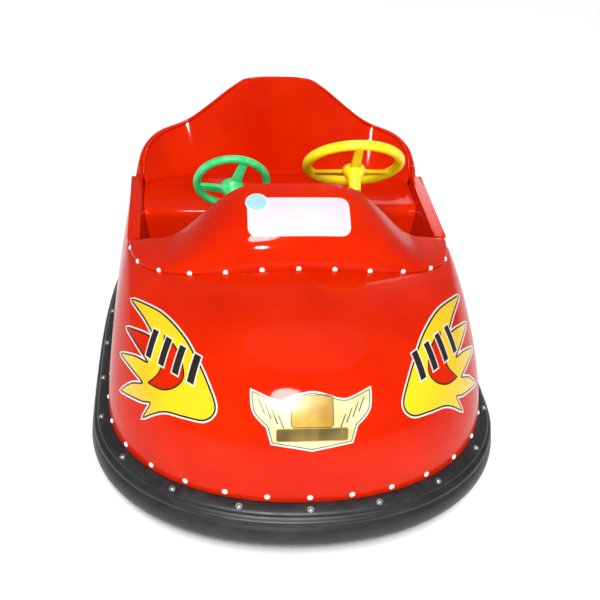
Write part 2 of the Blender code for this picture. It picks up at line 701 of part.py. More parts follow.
# ---------------------------------------------------------------- wheels
def wheel_pair(label, radius, width, bore, place):
    """A turned rim and its solid tyre, spinning about X."""
    outer = radius * RIM_SHARE
    half = width / 2
    lip = half * 0.84
    tread = half * 0.72
    section = [(bore, -half), (bore, half), (bore + 0.012, half), (bore + 0.016, 0.008)]
    section += [(outer - 0.010, 0.006), (outer - 0.006, lip), (outer, lip)]
    section += [(outer, -lip), (outer - 0.006, -lip), (outer - 0.010, -0.006)]
    section += [(bore + 0.016, -0.008), (bore + 0.012, -half)]
    rim = turned(label + "_rim", section, WHEEL_STEPS)
    section = [(outer + GAP, -half), (outer + GAP, half), (radius - 0.010, half)]
    section += [(radius, tread), (radius, -tread), (radius - 0.010, -half)]
    tyre = turned(label + "_tyre", section, WHEEL_STEPS)
    hub = bpy.data.objects.new(label + "_hub", None)
    bpy.context.scene.collection.objects.link(hub)
    hub.location = place
    hub.rotation_euler = (0, math.pi / 2, 0)
    for mesh, finish in ((rim, "cast_alloy"), (tyre, "rubber")):
        piece = add_object(mesh.name, mesh, finish)
        piece.parent = hub


LEG_INNER_X = DRIVE_WHEEL_WIDTH / 2 + FORK_LEG_CLEARANCE
LEG_OUTER_X = LEG_INNER_X + FORK_LEG
AXLE_END_X = LEG_OUTER_X + 0.007
CROWN_TOP_Z = FORK_CROWN_Z + FORK_CROWN_HEIGHT
FORK_LAP = 0.005          # how deep the disc and the stem sink into the crown


def crosswise(mesh, height):
    """Lay a mesh made along Z across the car at a height."""
    mesh.transform(Matrix.Rotation(math.pi / 2, 4, "Y"))
    mesh.transform(Matrix.Translation((0, 0, height)))
    return mesh


def drive_fork(pivot):
    """Fork over the drive wheel, with its turning disc and stem on the crown."""
    foot = DRIVE_WHEEL_RADIUS - FORK_FOOT
    outline = [(-LEG_OUTER_X, foot), (-LEG_INNER_X, foot), (-LEG_INNER_X, FORK_CROWN_Z)]
    outline += [(LEG_INNER_X, FORK_CROWN_Z), (LEG_INNER_X, foot), (LEG_OUTER_X, foot)]
    outline += [(LEG_OUTER_X, CROWN_TOP_Z), (-LEG_OUTER_X, CROWN_TOP_Z)]
    half = FORK_LENGTH / 2
    mesh = extruded("drive_fork", outline, FORK_LENGTH, lambda x, z, w: Vector((x, w - half, z)))
    fork = add_object("drive_fork", mesh, "black_steel")
    fork.parent = pivot
    stem = rod("fork_stem", STEM_RADIUS, CROWN_TOP_Z - FORK_LAP, STEM_TOP_Z)
    disc = rod("fork_disc", FORK_DISC_RADIUS, CROWN_TOP_Z - FORK_LAP, MOUNT_PLATE_Z - GAP, 32)
    bore = crosswise(rod("fork_axle_bore", DRIVE_AXLE_RADIUS + GAP, -0.06, 0.06), DRIVE_WHEEL_RADIUS)
    for mesh, how in ((disc, "UNION"), (stem, "UNION"), (bore, "DIFFERENCE")):
        tool = tool_object(mesh.name, mesh)
        tool.parent = pivot
        boolean(fork, tool, how)


def drive_unit():
    """Steered fork under the mount plate, with its wheel's axle and the motor."""
    pivot = bpy.data.objects.new("drive_pivot", None)
    bpy.context.scene.collection.objects.link(pivot)
    pivot.location = (0, DRIVE_Y, 0)
    drive_fork(pivot)
    bar = rod("drive_axle", DRIVE_AXLE_RADIUS, -AXLE_END_X, LEG_OUTER_X)
    axle = add_object("drive_axle", crosswise(bar, DRIVE_WHEEL_RADIUS), "zinc_steel")
    axle.parent = pivot
    drum = rod("drive_motor", MOTOR_RADIUS, LEG_OUTER_X + GAP, MOTOR_END_X, 32)
    motor = add_object("drive_motor", crosswise(drum, DRIVE_WHEEL_RADIUS + MOTOR_LIFT), "motor_paint")
    motor.parent = pivot


def drive_mount():
    """Bridge over the steered wheel, standing on the rails."""
    foot = FLOOR_Z - PLATE
    plate = MOUNT_PLATE_Z + PLATE
    outer, inner = RAIL_X + MOUNT_LEG_OUT, RAIL_X - MOUNT_LEG_IN
    outline = [(-outer, foot), (-inner, foot), (-inner, MOUNT_PLATE_Z)]
    outline += [(inner, MOUNT_PLATE_Z), (inner, foot)]
    outline += [(outer, foot), (outer, plate), (-outer, plate)]
    front = DRIVE_Y - MOUNT_PLATE_LENGTH / 2
    mesh = extruded("drive_mount", outline, MOUNT_PLATE_LENGTH, lambda x, z, w: Vector((x, front + w, z)))
    bridge = add_object("drive_mount", mesh, "black_steel")
    hole_mesh = rod("drive_mount_hole", STEM_RADIUS + STEM_CLEARANCE, MOUNT_PLATE_Z - 0.02, plate + 0.02)
    hole = tool_object("drive_mount_hole", hole_mesh)
    hole.location = (0, DRIVE_Y, 0)
    boolean(bridge, hole, "DIFFERENCE")


def steering_case():
    """Closed case over the mount plate: the driver's shaft goes in, the fork stem comes out."""
    low = (-CASE_SIDE_X, DRIVE_Y - CASE_AHEAD, MOUNT_PLATE_Z + PLATE + GAP)
    high = (DRIVER_HUB.x + CASE_PAST_SHAFT, DRIVE_Y + CASE_BEHIND, CASE_TOP_Z)
    case = box("steering_case", low, high, "motor_paint")
    well_mesh = rod("stem_well", STEM_RADIUS + 2 * STEM_CLEARANCE, MOUNT_PLATE_Z, WELL_TOP_Z)
    well = tool_object("stem_well", well_mesh)
    well.location = (0, DRIVE_Y, 0)
    boolean(case, well, "DIFFERENCE")
    entry_mesh = rod("shaft_entry", SHAFT_RADIUS + RUNNING_GAP, -DRIVER_SHAFT_REACH - 0.015, -0.40)
    entry = tool_object("shaft_entry", entry_mesh)
    entry.location = DRIVER_HUB
    entry.rotation_euler = (-DRIVER_TILT, 0, 0)
    boolean(case, entry, "DIFFERENCE")


# ---------------------------------------------------------------- steering wheels
TUBE_RADIUS = SHAFT_RADIUS + RUNNING_GAP + TUBE_WALL
SHAFT_TOP = 0.0105        # top end of a shaft, below the hub's middle
WHEEL_DISH = 0.020        # the rim stands this far above the hub's middle
SPOKE_HALF_HEIGHT = 0.0045
SPOKE_HALF_WIDTHS = (0.014, 0.009)   # at the hub and at the rim
SPOKE_START = 0.018
# the hub as (radius, height), from its top edge down to the foot of its cone
HUB_PROFILE = [(0.026, 0.012), (0.030, 0.004), (0.030, -0.004), (0.0175, -0.022), (0.0145, -0.055)]
HUB_BORE = 0.006
PLUG_RADIUS = 0.010       # closes the hub above the shaft
PLUG_BOTTOM = -0.0081
PLUG_TOP = 0.0119
FLANGE_HALF_WIDTH = 0.032
FLANGE_BELOW, FLANGE_ABOVE = 0.040, 0.036
FLANGE_THICKNESS = 0.006
COLUMNS = (("driver", DRIVER_HUB, DRIVER_TILT, TUBE_RADIUS),
           ("passenger", PASSENGER_HUB, PASSENGER_TILT, TUBE_RADIUS))


def spoke(name, angle, reach):
    """A flat bar from the hub up to the rim, a little narrower at its end."""
    corners = []
    shape = bmesh.new()
    for along, width in ((SPOKE_START, SPOKE_HALF_WIDTHS[0]), (reach, SPOKE_HALF_WIDTHS[1])):
        lift = WHEEL_DISH * (along - SPOKE_START) / (reach - SPOKE_START)
        for across, up in ((-1, -1), (1, -1), (1, 1), (-1, 1)):
            point = Vector((along, across * width, lift + up * SPOKE_HALF_HEIGHT))
            corners.append(shape.verts.new(Matrix.Rotation(angle, 3, "Z") @ point))
    shape.faces.new(corners[:4])
    shape.faces.new(list(reversed(corners[4:])))
    for i in range(4):
        j = (i + 1) % 4
        shape.faces.new((corners[i], corners[4 + i], corners[4 + j], corners[j]))
    return mesh_of(name, shape)


def steering_wheel(name, hub, tilt, turn, diameter, tube, finish):
    """Moulded wheel: round rim, three flat spokes, conical hub; its axis is local Z."""
    axis = bpy.data.objects.new(name + "_axis", None)
    bpy.context.scene.collection.objects.link(axis)
    axis.location = hub
    axis.rotation_euler = (-tilt, 0, 0)
    rim_radius = diameter / 2 - tube
    circle = [(rim_radius + tube * math.cos(a), WHEEL_DISH + tube * math.sin(a)) for a in
              [2 * math.pi * i / 8 for i in range(8)]]
    wheel = add_object(name, turned(name, circle, 40), finish)
    wheel.parent = axis
    profile = [(HUB_BORE, HUB_PROFILE[0][1]), *HUB_PROFILE, (HUB_BORE, HUB_PROFILE[-1][1])]
    additions = [turned(name + "_hub", profile), rod(name + "_plug", PLUG_RADIUS, PLUG_BOTTOM, PLUG_TOP)]
    for index in range(3):
        angle = turn + index * 2 * math.pi / 3 - math.pi / 2
        additions.append(spoke("%s_spoke_%d" % (name, index), angle, rim_radius))
    for mesh in additions:
        tool = tool_object(mesh.name, mesh)
        tool.parent = axis
        boolean(wheel, tool, "UNION")
    bore = tool_object(name + "_bore", rod(name + "_bore", SHAFT_RADIUS + GAP, -0.070, 0.0004 - SHAFT_TOP))
    bore.parent = axis
    boolean(wheel, bore, "DIFFERENCE")
    return axis


def steering_shaft(name, axis, reach):
    shaft = add_object(name, rod(name, SHAFT_RADIUS, -reach, -SHAFT_TOP), "zinc_steel")
    shaft.parent = axis


def column_tube(name, hub, tilt, reach):
    """Fixed tube round the shaft, with a square flange on the dash board."""
    inside = TUBE_RADIUS - TUBE_WALL
    tube_mesh = turned(name, [(inside, -reach), (TUBE_RADIUS, -reach),
                              (TUBE_RADIUS, -TUBE_TOP), (inside, -TUBE_TOP)])
    place = Matrix.Translation(hub) @ Matrix.Rotation(-tilt, 4, "X")
    tube_mesh.transform(place)
    tube = add_object(name, tube_mesh, "black_steel")
    rear_face = DASH_BOARD_Y + PLATE + GAP
    along = (hub.y - rear_face) / math.sin(tilt)
    centre_z = hub.z - along * math.cos(tilt)
    low = (hub.x - FLANGE_HALF_WIDTH, rear_face, centre_z - FLANGE_BELOW)
    high = (hub.x + FLANGE_HALF_WIDTH, rear_face + FLANGE_THICKNESS, centre_z + FLANGE_ABOVE)
    flange = tool_object(name + "_flange", box_mesh(name + "_flange", low, high))
    boolean(tube, flange, "UNION")
    bore_mesh = rod(name + "_bore", inside, -reach - 0.01, 0.012 - TUBE_TOP, 32)
    bore_mesh.transform(place)
    boolean(tube, tool_object(name + "_bore", bore_mesh), "DIFFERENCE")


def build():
    bumper_ring()
    bumper_mount_band()
    lower_shell()
    cowl_shell()
    side_panel("side_panel_left", 1)
    side_panel("side_panel_right", -1)
    floor_pan()
    front_bulkhead()
    dash_panel()
    bench_seat()
    seat_back()
    rear_cowl()
    batteries()
    accelerator_pedal()
    rails()
    cross_member("nose_cross_member", RAIL_FRONT_Y)
    cross_member("front_cross_member", FRONT_BEAM_Y)
    cross_member("mid_cross_member", MID_BEAM_Y)
    cross_member("tail_cross_member", RAIL_REAR_Y - BEAM_WIDTH)
    rear_axle()
    for label, side in (("rear_left", 1), ("rear_right", -1)):
        place = (side * REAR_WHEEL_X, REAR_AXLE_Y, REAR_WHEEL_RADIUS)
        wheel_pair(label, REAR_WHEEL_RADIUS, REAR_WHEEL_WIDTH, REAR_AXLE_RADIUS + GAP, place)
    drive_mount()
    steering_case()
    drive_unit()
    place = (0, DRIVE_Y, DRIVE_WHEEL_RADIUS)
    wheel_pair("drive", DRIVE_WHEEL_RADIUS, DRIVE_WHEEL_WIDTH, DRIVE_AXLE_RADIUS + GAP, place)
    axis = steering_wheel("driver_wheel", DRIVER_HUB, DRIVER_TILT, 0.0, DRIVER_DIAMETER,
                          DRIVER_TUBE, "yellow_plastic")
    steering_shaft("driver_shaft", axis, DRIVER_SHAFT_REACH)
    axis = steering_wheel("passenger_wheel", PASSENGER_HUB, PASSENGER_TILT, PASSENGER_TURN,
                          PASSENGER_DIAMETER, PASSENGER_TUBE, "green_plastic")
    steering_shaft("passenger_shaft", axis, PASSENGER_SHAFT_REACH)
    column_tube("driver_column", DRIVER_HUB, DRIVER_TILT, DRIVER_TUBE_REACH)
    column_tube("passenger_column", PASSENGER_HUB, PASSENGER_TILT, PASSENGER_TUBE_REACH)


for leftover in list(bpy.data.objects):
    bpy.data.objects.remove(leftover, do_unlink=True)
build()
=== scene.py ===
# %% [markdown]
# # A two-seat fairground bumper car
#
# The real car is a red fibreglass body on a steel frame, with a fat rubber bumper all the
# way round, an arched seat back and two plastic steering wheels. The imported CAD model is
# loaded first as a fixed frame: every finer piece is placed from its boxes and joints, so
# nothing has to be fitted by eye.

# %% Load the frame
import json
import math

import bpy
from mathutils import Matrix, Vector

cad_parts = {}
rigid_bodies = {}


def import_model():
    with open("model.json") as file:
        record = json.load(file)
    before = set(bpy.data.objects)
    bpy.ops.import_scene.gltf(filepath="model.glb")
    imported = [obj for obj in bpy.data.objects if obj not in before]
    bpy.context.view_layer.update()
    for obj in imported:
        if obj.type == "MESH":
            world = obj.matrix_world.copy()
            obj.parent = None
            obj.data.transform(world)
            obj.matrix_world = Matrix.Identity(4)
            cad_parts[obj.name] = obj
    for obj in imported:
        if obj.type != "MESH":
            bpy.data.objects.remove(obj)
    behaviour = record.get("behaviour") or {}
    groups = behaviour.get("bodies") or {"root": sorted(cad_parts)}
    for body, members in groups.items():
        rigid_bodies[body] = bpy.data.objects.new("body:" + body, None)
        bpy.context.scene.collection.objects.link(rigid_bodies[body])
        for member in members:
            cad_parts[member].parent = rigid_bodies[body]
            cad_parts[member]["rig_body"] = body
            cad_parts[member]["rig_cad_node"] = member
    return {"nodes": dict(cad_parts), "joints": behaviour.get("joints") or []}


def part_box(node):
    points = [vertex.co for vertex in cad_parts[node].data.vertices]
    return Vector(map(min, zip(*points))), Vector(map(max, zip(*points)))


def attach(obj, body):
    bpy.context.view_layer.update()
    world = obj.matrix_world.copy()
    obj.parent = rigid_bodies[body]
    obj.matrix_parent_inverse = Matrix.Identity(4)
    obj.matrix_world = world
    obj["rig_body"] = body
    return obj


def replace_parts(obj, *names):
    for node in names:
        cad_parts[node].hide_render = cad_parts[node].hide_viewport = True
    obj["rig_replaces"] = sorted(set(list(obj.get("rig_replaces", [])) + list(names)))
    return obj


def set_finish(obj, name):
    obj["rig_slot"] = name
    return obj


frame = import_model()
nodes = frame["nodes"]
joints = {joint["name"]: joint for joint in frame["joints"]}
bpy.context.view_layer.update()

# %% [markdown]
# ## Small tools
#
# An operator works on whatever is selected, and the loader leaves the CAD nodes selected.
# So one helper empties the selection, one picks faces or edges by a test on their place,
# and one bakes an object's place into its mesh, because a finished piece sits unturned
# at the origin as the CAD nodes do.

# %% Selecting and placing
MM = 0.001


def only(*objects):
    """Select these objects and nothing else; the first is the active one."""
    bpy.ops.object.select_all(action="DESELECT")
    for item in objects:
        item.select_set(True)
    bpy.context.view_layer.objects.active = objects[0]


def edit(piece):
    only(piece)
    bpy.ops.object.mode_set(mode="EDIT")


def leave():
    bpy.ops.object.mode_set(mode="OBJECT")


def pick(piece, kind, test):
    """In edit mode, select the faces or edges that pass a test on their place."""
    leave()
    mesh = piece.data
    for group in (mesh.vertices, mesh.edges, mesh.polygons):
        group.foreach_set("select", [False] * len(group))
    if kind == "FACE":
        for face in mesh.polygons:
            face.select = test(face.center, face.normal)
    else:
        for line in mesh.edges:
            line.select = test(*(mesh.vertices[i].co for i in line.vertices))
    bpy.ops.object.mode_set(mode="EDIT")
    bpy.ops.mesh.select_mode(type=kind)


def bake_place(piece, matrix=None):
    """Move the place, turn and size of an object into its mesh."""
    if matrix is not None:
        piece.matrix_world = matrix
    only(piece)
    bpy.ops.object.transform_apply(location=True, rotation=True, scale=True)
    return piece


def apply_all(piece):
    only(piece)
    for step in list(piece.modifiers):
        bpy.ops.object.modifier_apply(modifier=step.name)


def modifier(piece, kind, **settings):
    step = piece.modifiers.new(kind.lower(), kind)
    for key, value in settings.items():
        setattr(step, key, value)
    return step


def finish(piece, name, material, body, stands_for=(), angle=35, slot=None):
    """Name a finished piece, give it its material and let it ride on a body."""
    piece.name = name
    piece.data.name = name
    if material is not None:
        piece.data.materials.clear()
        piece.data.materials.append(material)
    only(piece)
    bpy.ops.object.shade_smooth_by_angle(angle=math.radians(angle))
    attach(piece, body)
    if stands_for:
        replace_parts(piece, *stands_for)
    if slot:
        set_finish(piece, slot)
    return piece


def joined(pieces):
    only(*pieces)
    if len(pieces) > 1:
        bpy.ops.object.join()
    return bpy.context.active_object


def copy_of(piece):
    only(piece)
    bpy.ops.object.duplicate()
    return bpy.context.active_object


def cylinder(vertices, radius, depth, location=(0, 0, 0)):
    """A plain cylinder about an upright axis, selected alone."""
    bpy.ops.object.select_all(action="DESELECT")
    bpy.ops.mesh.primitive_cylinder_add(vertices=vertices, radius=radius, depth=depth, location=location)
    return bpy.context.active_object


def ease_edges(piece, width, segments, angle=30):
    """Round the edges that bend by more than an angle."""
    modifier(piece, "BEVEL", width=width, segments=segments, limit_method="ANGLE",
             angle_limit=math.radians(angle))
    apply_all(piece)
    return piece


# %% [markdown]
# ## The camera
#
# The view is from the right front corner, standing, a little over two and a half metres
# away, with the camera held slightly askew as a hand-held one is.

# %% Camera
CAMERA_PLACE = Vector((-0.277, -2.538, 1.900))
CAMERA_DOWN = 32.66       # degrees below level
CAMERA_ASIDE = 7.235      # degrees towards the driver's side
CAMERA_LEAN = 3.292       # degrees about the line of sight
LENS_MM = 66
FILM_WIDTH_MM = 36

turn = Matrix.Rotation(math.radians(-CAMERA_ASIDE), 4, "Z")
turn = turn @ Matrix.Rotation(math.radians(90 - CAMERA_DOWN), 4, "X")
turn = turn @ Matrix.Rotation(math.radians(CAMERA_LEAN), 4, "Z")
bpy.ops.object.camera_add(location=CAMERA_PLACE, rotation=turn.to_euler())
camera = bpy.context.active_object
camera.data.lens = LENS_MM
camera.data.sensor_width = FILM_WIDTH_MM
bpy.context.scene.camera = camera
print("camera", [round(value, 3) for value in camera.location])

# %% [markdown]
# ## Floor and light
#
# A plain white floor under a dim sky, one broad key light from the front, a soft light
# overhead and a small strong lamp close to the camera, which gives the round glow that
# gelcoat shows where it faces you. A brighter sky would light the car as well, but its
# reflection would wash the red out to pink. The colours are shown by the plain display
# transform, so a strong red stays strong.

# %% Floor and light
KEY_HEIGHT = 50           # degrees above level
KEY_STRENGTH = 3.0
KEY_SPREAD = 14           # degrees across, for soft shadows
SKY_STRENGTH = 0.27
FLOOR_SIZE = 80

bpy.context.scene.view_settings.view_transform = "Standard"


def linear(text, alpha=1.0):
    """An sRGB hex colour as the linear values that Blender works in."""
    values = [int(text[i:i + 2], 16) / 255 for i in (1, 3, 5)]
    values = [v / 12.92 if v <= 0.04045 else ((v + 0.055) / 1.055) ** 2.4 for v in values]
    return (*values, alpha)


def add_node(tree, kind, inputs=None, **settings):
    """Add one node; an input is given a number, a colour or another node's output."""
    made = tree.nodes.new(kind)
    for key, value in settings.items():
        setattr(made, key, value)
    for socket, value in (inputs or {}).items():
        if isinstance(value, bpy.types.NodeSocket):
            tree.links.new(value, made.inputs[socket])
        else:
            made.inputs[socket].default_value = value
    return made


def area_light(name, place, target, size, power):
    """A round soft light that faces a target."""
    aim = (Vector(place) - Vector(target)).to_track_quat("Z", "Y")
    bpy.ops.object.light_add(type="AREA", location=place, rotation=aim.to_euler())
    light = bpy.context.active_object
    light.name = name
    light.data.shape = "DISK"
    light.data.size = size
    light.data.energy = power


area_light("overhead_softbox", (0.3, -0.3, 3.4), (0, 0, 0.3), 2.6, 8)
area_light("camera_lamp", (-0.22, -2.60, 2.02), (0, -0.1, 0.4), 0.28, 30)
area_light("rear_fill", (0.8, 2.6, 1.8), (0, 0, 0.4), 1.8, 26)
key_turn = (math.radians(90 - KEY_HEIGHT), 0, math.radians(-CAMERA_ASIDE))
bpy.ops.object.light_add(type="SUN", rotation=key_turn)
key = bpy.context.active_object
key.name = "broad_key"
key.data.energy = KEY_STRENGTH
key.data.angle = math.radians(KEY_SPREAD)

sky = bpy.data.worlds.new("studio_sky")
sky.use_nodes = True
sky.node_tree.nodes["Background"].inputs["Color"].default_value = linear("#F4F6FA")
sky.node_tree.nodes["Background"].inputs["Strength"].default_value = SKY_STRENGTH
bpy.context.scene.world = sky

bpy.ops.object.select_all(action="DESELECT")
bpy.ops.mesh.primitive_plane_add(size=FLOOR_SIZE, location=(0, 4, 0))
floor = bpy.context.active_object
floor.name = "studio_floor"
floor_paint = bpy.data.materials.new("matt_floor_paint")
floor_paint.use_nodes = True
paint = floor_paint.node_tree.nodes["Principled BSDF"]
paint.inputs["Base Color"].default_value = linear("#FFFFFF")
paint.inputs["Roughness"].default_value = 0.9
floor.data.materials.append(floor_paint)

# %% [markdown]
# ## Materials
#
# Each finish starts from what the real one is. A small function makes an empty material
# with its Principled shader and the Object coordinates, another adds fine relief, and
# each material then gets its own short section. Pattern sizes are given in millimetres:
# a noise texture with scale 1000 / L repeats about every L millimetres.

# %% Helpers for materials


def start_material(name, colour, roughness, **more):
    """An empty material: its node tree, its shader and the coordinates it reads.

    Any further shader input is given by its name, with underscores for the spaces.
    """
    made = bpy.data.materials.new(name)
    made.use_nodes = True
    tree = made.node_tree
    shader = tree.nodes["Principled BSDF"]
    more.update(Base_Color=linear(colour), Roughness=roughness)
    for socket, value in more.items():
        shader.inputs[socket.replace("_", " ")].default_value = value
    place = add_node(tree, "ShaderNodeTexCoord").outputs["Object"]
    return made, tree, shader, place


def noise(tree, place, size_mm, detail=3.0, rough=0.5, stretch=None):
    """Cloudy noise whose blotches are about size_mm across."""
    if stretch:
        mapping = add_node(tree, "ShaderNodeMapping", {"Vector": place, "Scale": stretch})
        place = mapping.outputs["Vector"]
    made = add_node(tree, "ShaderNodeTexNoise", {"Vector": place, "Scale": 1000 / size_mm,
                                                 "Detail": detail, "Roughness": rough})
    return made.outputs["Fac"]


def remap(tree, value, low, high, to_low=0.0, to_high=1.0):
    """Stretch a value from one range to another, kept within its ends."""
    made = add_node(tree, "ShaderNodeMapRange", {"Value": value, "From Min": low, "From Max": high,
                                                 "To Min": to_low, "To Max": to_high})
    return made.outputs["Result"]


def blend(tree, factor, first, second):
    """Mix two colours, given as hex text or as another node's output."""
    made = add_node(tree, "ShaderNodeMix", data_type="RGBA")
    for index, value in ((0, factor), (6, first), (7, second)):
        if isinstance(value, str):
            value = linear(value)
        if isinstance(value, bpy.types.NodeSocket):
            tree.links.new(value, made.inputs[index])
        else:
            made.inputs[index].default_value = value
    return made.outputs[2]


def tinted(tree, shader, value, low, high, first, second):
    """Let the base colour drift from one tone to another with a pattern."""
    tone = blend(tree, remap(tree, value, low, high), first, second)
    tree.links.new(tone, shader.inputs["Base Color"])


def dulled(tree, shader, value, low, high, glossy, dull):
    """Let the roughness vary between two values with a pattern."""
    tree.links.new(remap(tree, value, low, high, glossy, dull), shader.inputs["Roughness"])


def relief(tree, shader, height, depth_mm, strength, socket="Normal"):
    """Fine relief of a given depth, on the shader or on its clear coat."""
    bump = add_node(tree, "ShaderNodeBump", {"Height": height, "Distance": depth_mm * MM,
                                             "Strength": strength})
    tree.links.new(bump.outputs["Normal"], shader.inputs[socket])


# %% [markdown]
# Gelcoat is the coloured polyester skin of a fibreglass moulding. It copies the polish of
# its mould, so it is glossy with a faint waviness, and it is wiped clean all day: the
# scratches are fine. The colour turns a deeper red in a ragged band low down, near the bumper.

# %% Gelcoat fibreglass
# The foot of the shell, and the height above it over which the colour darkens.
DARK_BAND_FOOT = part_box("lower_shell")[0].z
DARK_BAND_HEIGHT = 37 * MM


def gelcoat(name, colour, light, dark):
    made, tree, shader, place = start_material(
        name, colour, 0.32, IOR=1.55, Specular_IOR_Level=0.05, Specular_Tint=linear(light),
        Coat_Weight=0.30, Coat_Roughness=0.06, Coat_IOR=1.45)
    cloud = noise(tree, place, 140, 2.0)
    tone = blend(tree, remap(tree, cloud, 0.35, 0.65), dark, light)
    # A ragged band along the foot of the shell is darkened to a deep red.
    height = add_node(tree, "ShaderNodeSeparateXYZ", {"Vector": place}).outputs["Z"]
    dark_band_edge = noise(tree, place, 30, 4.0, 0.7)
    low_down = remap(tree, height, DARK_BAND_FOOT + DARK_BAND_HEIGHT, DARK_BAND_FOOT)
    product = add_node(tree, "ShaderNodeMath", {0: low_down, 1: dark_band_edge}, operation="MULTIPLY")
    dark_band = remap(tree, product.outputs[0], 0.25, 0.75, 0.0, 0.55)
    tree.links.new(blend(tree, dark_band, tone, "#6E1004"), shader.inputs["Base Color"])
    scratch = noise(tree, place, 9, 5.0, 0.75, (1.0, 0.18, 2.2))
    dulled(tree, shader, scratch, 0.45, 0.8, 0.26, 0.46)
    waves = noise(tree, place, 26, 1.0)
    relief(tree, shader, waves, 0.10, 0.35, "Coat Normal")
    relief(tree, shader, noise(tree, place, 3, 2.0), 0.03, 0.3)
    return made


RED_GELCOAT = gelcoat("red_gelcoat_fibreglass", "#C71F00", "#CB2200", "#C21B00")

# %% [markdown]
# The bumper is an extruded rubber section: dull, dark grey rather than black because it
# has bloomed in the light, with scuffs along the part that hits other cars and pale dust
# in patches.

# %% Extruded rubber


def rubber(name, colour, pale, scuff_mm, bump_mm=0.25):
    made, tree, shader, place = start_material(name, colour, 0.62, IOR=1.52, Specular_IOR_Level=0.38)
    cloud = noise(tree, place, 60, 3.0)
    scuffs = noise(tree, place, scuff_mm, 6.0, 0.7, (1.0, 1.0, 4.0))
    product = add_node(tree, "ShaderNodeMath", {0: cloud, 1: scuffs}, operation="MULTIPLY")
    tinted(tree, shader, product.outputs[0], 0.18, 0.42, colour, pale)
    dulled(tree, shader, scuffs, 0.35, 0.75, 0.36, 0.56)
    relief(tree, shader, noise(tree, place, 2.2, 4.0, 0.7), bump_mm, 0.45)
    return made


BUMPER_RUBBER = rubber("extruded_bumper_rubber", "#1B1C1D", "#2B2B2B", 30)
TYRE_RUBBER = rubber("solid_tyre_rubber", "#242424", "#4A463F", 9, 0.3)
PEDAL_RUBBER = rubber("ribbed_pedal_rubber", "#1C1C1D", "#3A3834", 6, 0.2)

# %% [markdown]
# The steering wheels are injection-moulded plastic: an even, saturated colour, a skin
# that is satin rather than glossy, a shallow grain, and a slightly paler bloom where
# hands rub it.

# %% Moulded plastic


def plastic(name, colour, worn):
    made, tree, shader, place = start_material(
        name, colour, 0.34, IOR=1.49, Subsurface_Weight=0.06, Subsurface_Radius=(0.004, 0.003, 0.001))
    rub = noise(tree, place, 24, 4.0, 0.65)
    tinted(tree, shader, rub, 0.5, 0.75, colour, worn)
    dulled(tree, shader, rub, 0.3, 0.7, 0.28, 0.46)
    relief(tree, shader, noise(tree, place, 1.6, 2.0), 0.05, 0.35)
    return made


YELLOW_PLASTIC = plastic("yellow_moulded_polypropylene", "#FFDD00", "#FFE73A")
GREEN_PLASTIC = plastic("green_moulded_polypropylene", "#2FC46C", "#6EDD98")

# %% [markdown]
# The metals keep the shader's own IOR. Zinc plating is pale and slightly cloudy, and cast
# alloy is grey and grainy. The frame is black paint over steel, dusty in patches. The
# rivet heads are given white paint in place of bare metal: a painted sheen that keeps them
# as bright as lit heads, where a metal would mirror the dim surroundings and look dark.

# %% Metals and paints


def metal(name, dark, light, roughness, grain_mm, bump_mm):
    made, tree, shader, place = start_material(name, light, roughness, Metallic=1.0)
    patches = noise(tree, place, grain_mm * 4, 3.0)
    tinted(tree, shader, patches, 0.35, 0.65, dark, light)
    dulled(tree, shader, patches, 0.3, 0.7, roughness - 0.07, roughness + 0.1)
    relief(tree, shader, noise(tree, place, grain_mm, 3.0), bump_mm, 0.4)
    return made


def painted(name, colour, dusty, roughness, bump_mm=0.15):
    made, tree, shader, place = start_material(name, colour, roughness, IOR=1.5)
    wear = noise(tree, place, 35, 5.0, 0.65)
    tinted(tree, shader, wear, 0.5, 0.8, colour, dusty)
    dulled(tree, shader, wear, 0.3, 0.8, roughness - 0.08, roughness + 0.15)
    relief(tree, shader, noise(tree, place, 1.8, 2.0), bump_mm, 0.35)
    return made


ZINC = metal("zinc_plated_steel", "#A9ADB0", "#D3D6D9", 0.30, 1.2, 0.03)
# White paint on the rivet heads: a painted sheen in place of bare metal.
RIVET_PAINTED_SHEEN = painted("rivet_white_painted_sheen", "#F7F5F0", "#DDD9CF", 0.28, 0.02)
CAST_ALLOY = metal("cast_aluminium_alloy", "#87898B", "#AEB0B2", 0.45, 1.6, 0.08)
BLACK_PAINT = painted("black_chassis_paint", "#17181A", "#3A3733", 0.5)
GREY_PAINT = painted("grey_machine_enamel", "#2F3235", "#55524C", 0.42)
BATTERY_CASE = painted("moulded_battery_case", "#15181F", "#34343A", 0.45, 0.05)

# %% [markdown]
# The decals are printed vinyl under a clear film. They need the same gloss as the body,
# so that the reflections run across them.

# %% Printed vinyl


def vinyl(name, colour, second, size_mm=90):
    made, tree, shader, place = start_material(name, colour, 0.3, IOR=1.46, Coat_Weight=0.5,
                                               Coat_Roughness=0.07)
    tinted(tree, shader, noise(tree, place, size_mm, 2.0), 0.35, 0.65, colour, second)
    relief(tree, shader, noise(tree, place, 4, 2.0), 0.02, 0.3)
    return made


VINYL_WHITE = vinyl("white_printed_vinyl", "#DCDAD6", "#D3D1CC")
VINYL_BLACK = vinyl("black_printed_vinyl", "#1B120C", "#241A12")
VINYL_YELLOW = vinyl("yellow_printed_vinyl", "#E6CB12", "#DDB60A", 160)
VINYL_PINK = vinyl("pink_printed_vinyl", "#DFC3DF", "#E3CBE3")
VINYL_BLUE = vinyl("pale_blue_printed_vinyl", "#8DBBE2", "#A0CAEA")
VINYL_CREAM = vinyl("cream_printed_vinyl", "#D8D5AE", "#C3BF86", 60)
VINYL_GOLD = vinyl("gold_printed_vinyl", "#C9A640", "#A98026", 70)
VINYL_BRONZE = vinyl("bronze_printed_vinyl", "#7C6A34", "#5B4B24", 40)

# %% [markdown]
# ## Body mouldings
#
# The CAD shells have the right place and wall, but flat facets. A copy is merged into
# quads, its sharp borders are creased, and Subdivision Surface rounds the rest, which is
# how a smooth moulding is usually made from a coarse cage.

# %% Smooth mouldings
SMOOTHING = 2             # times each face is split in four


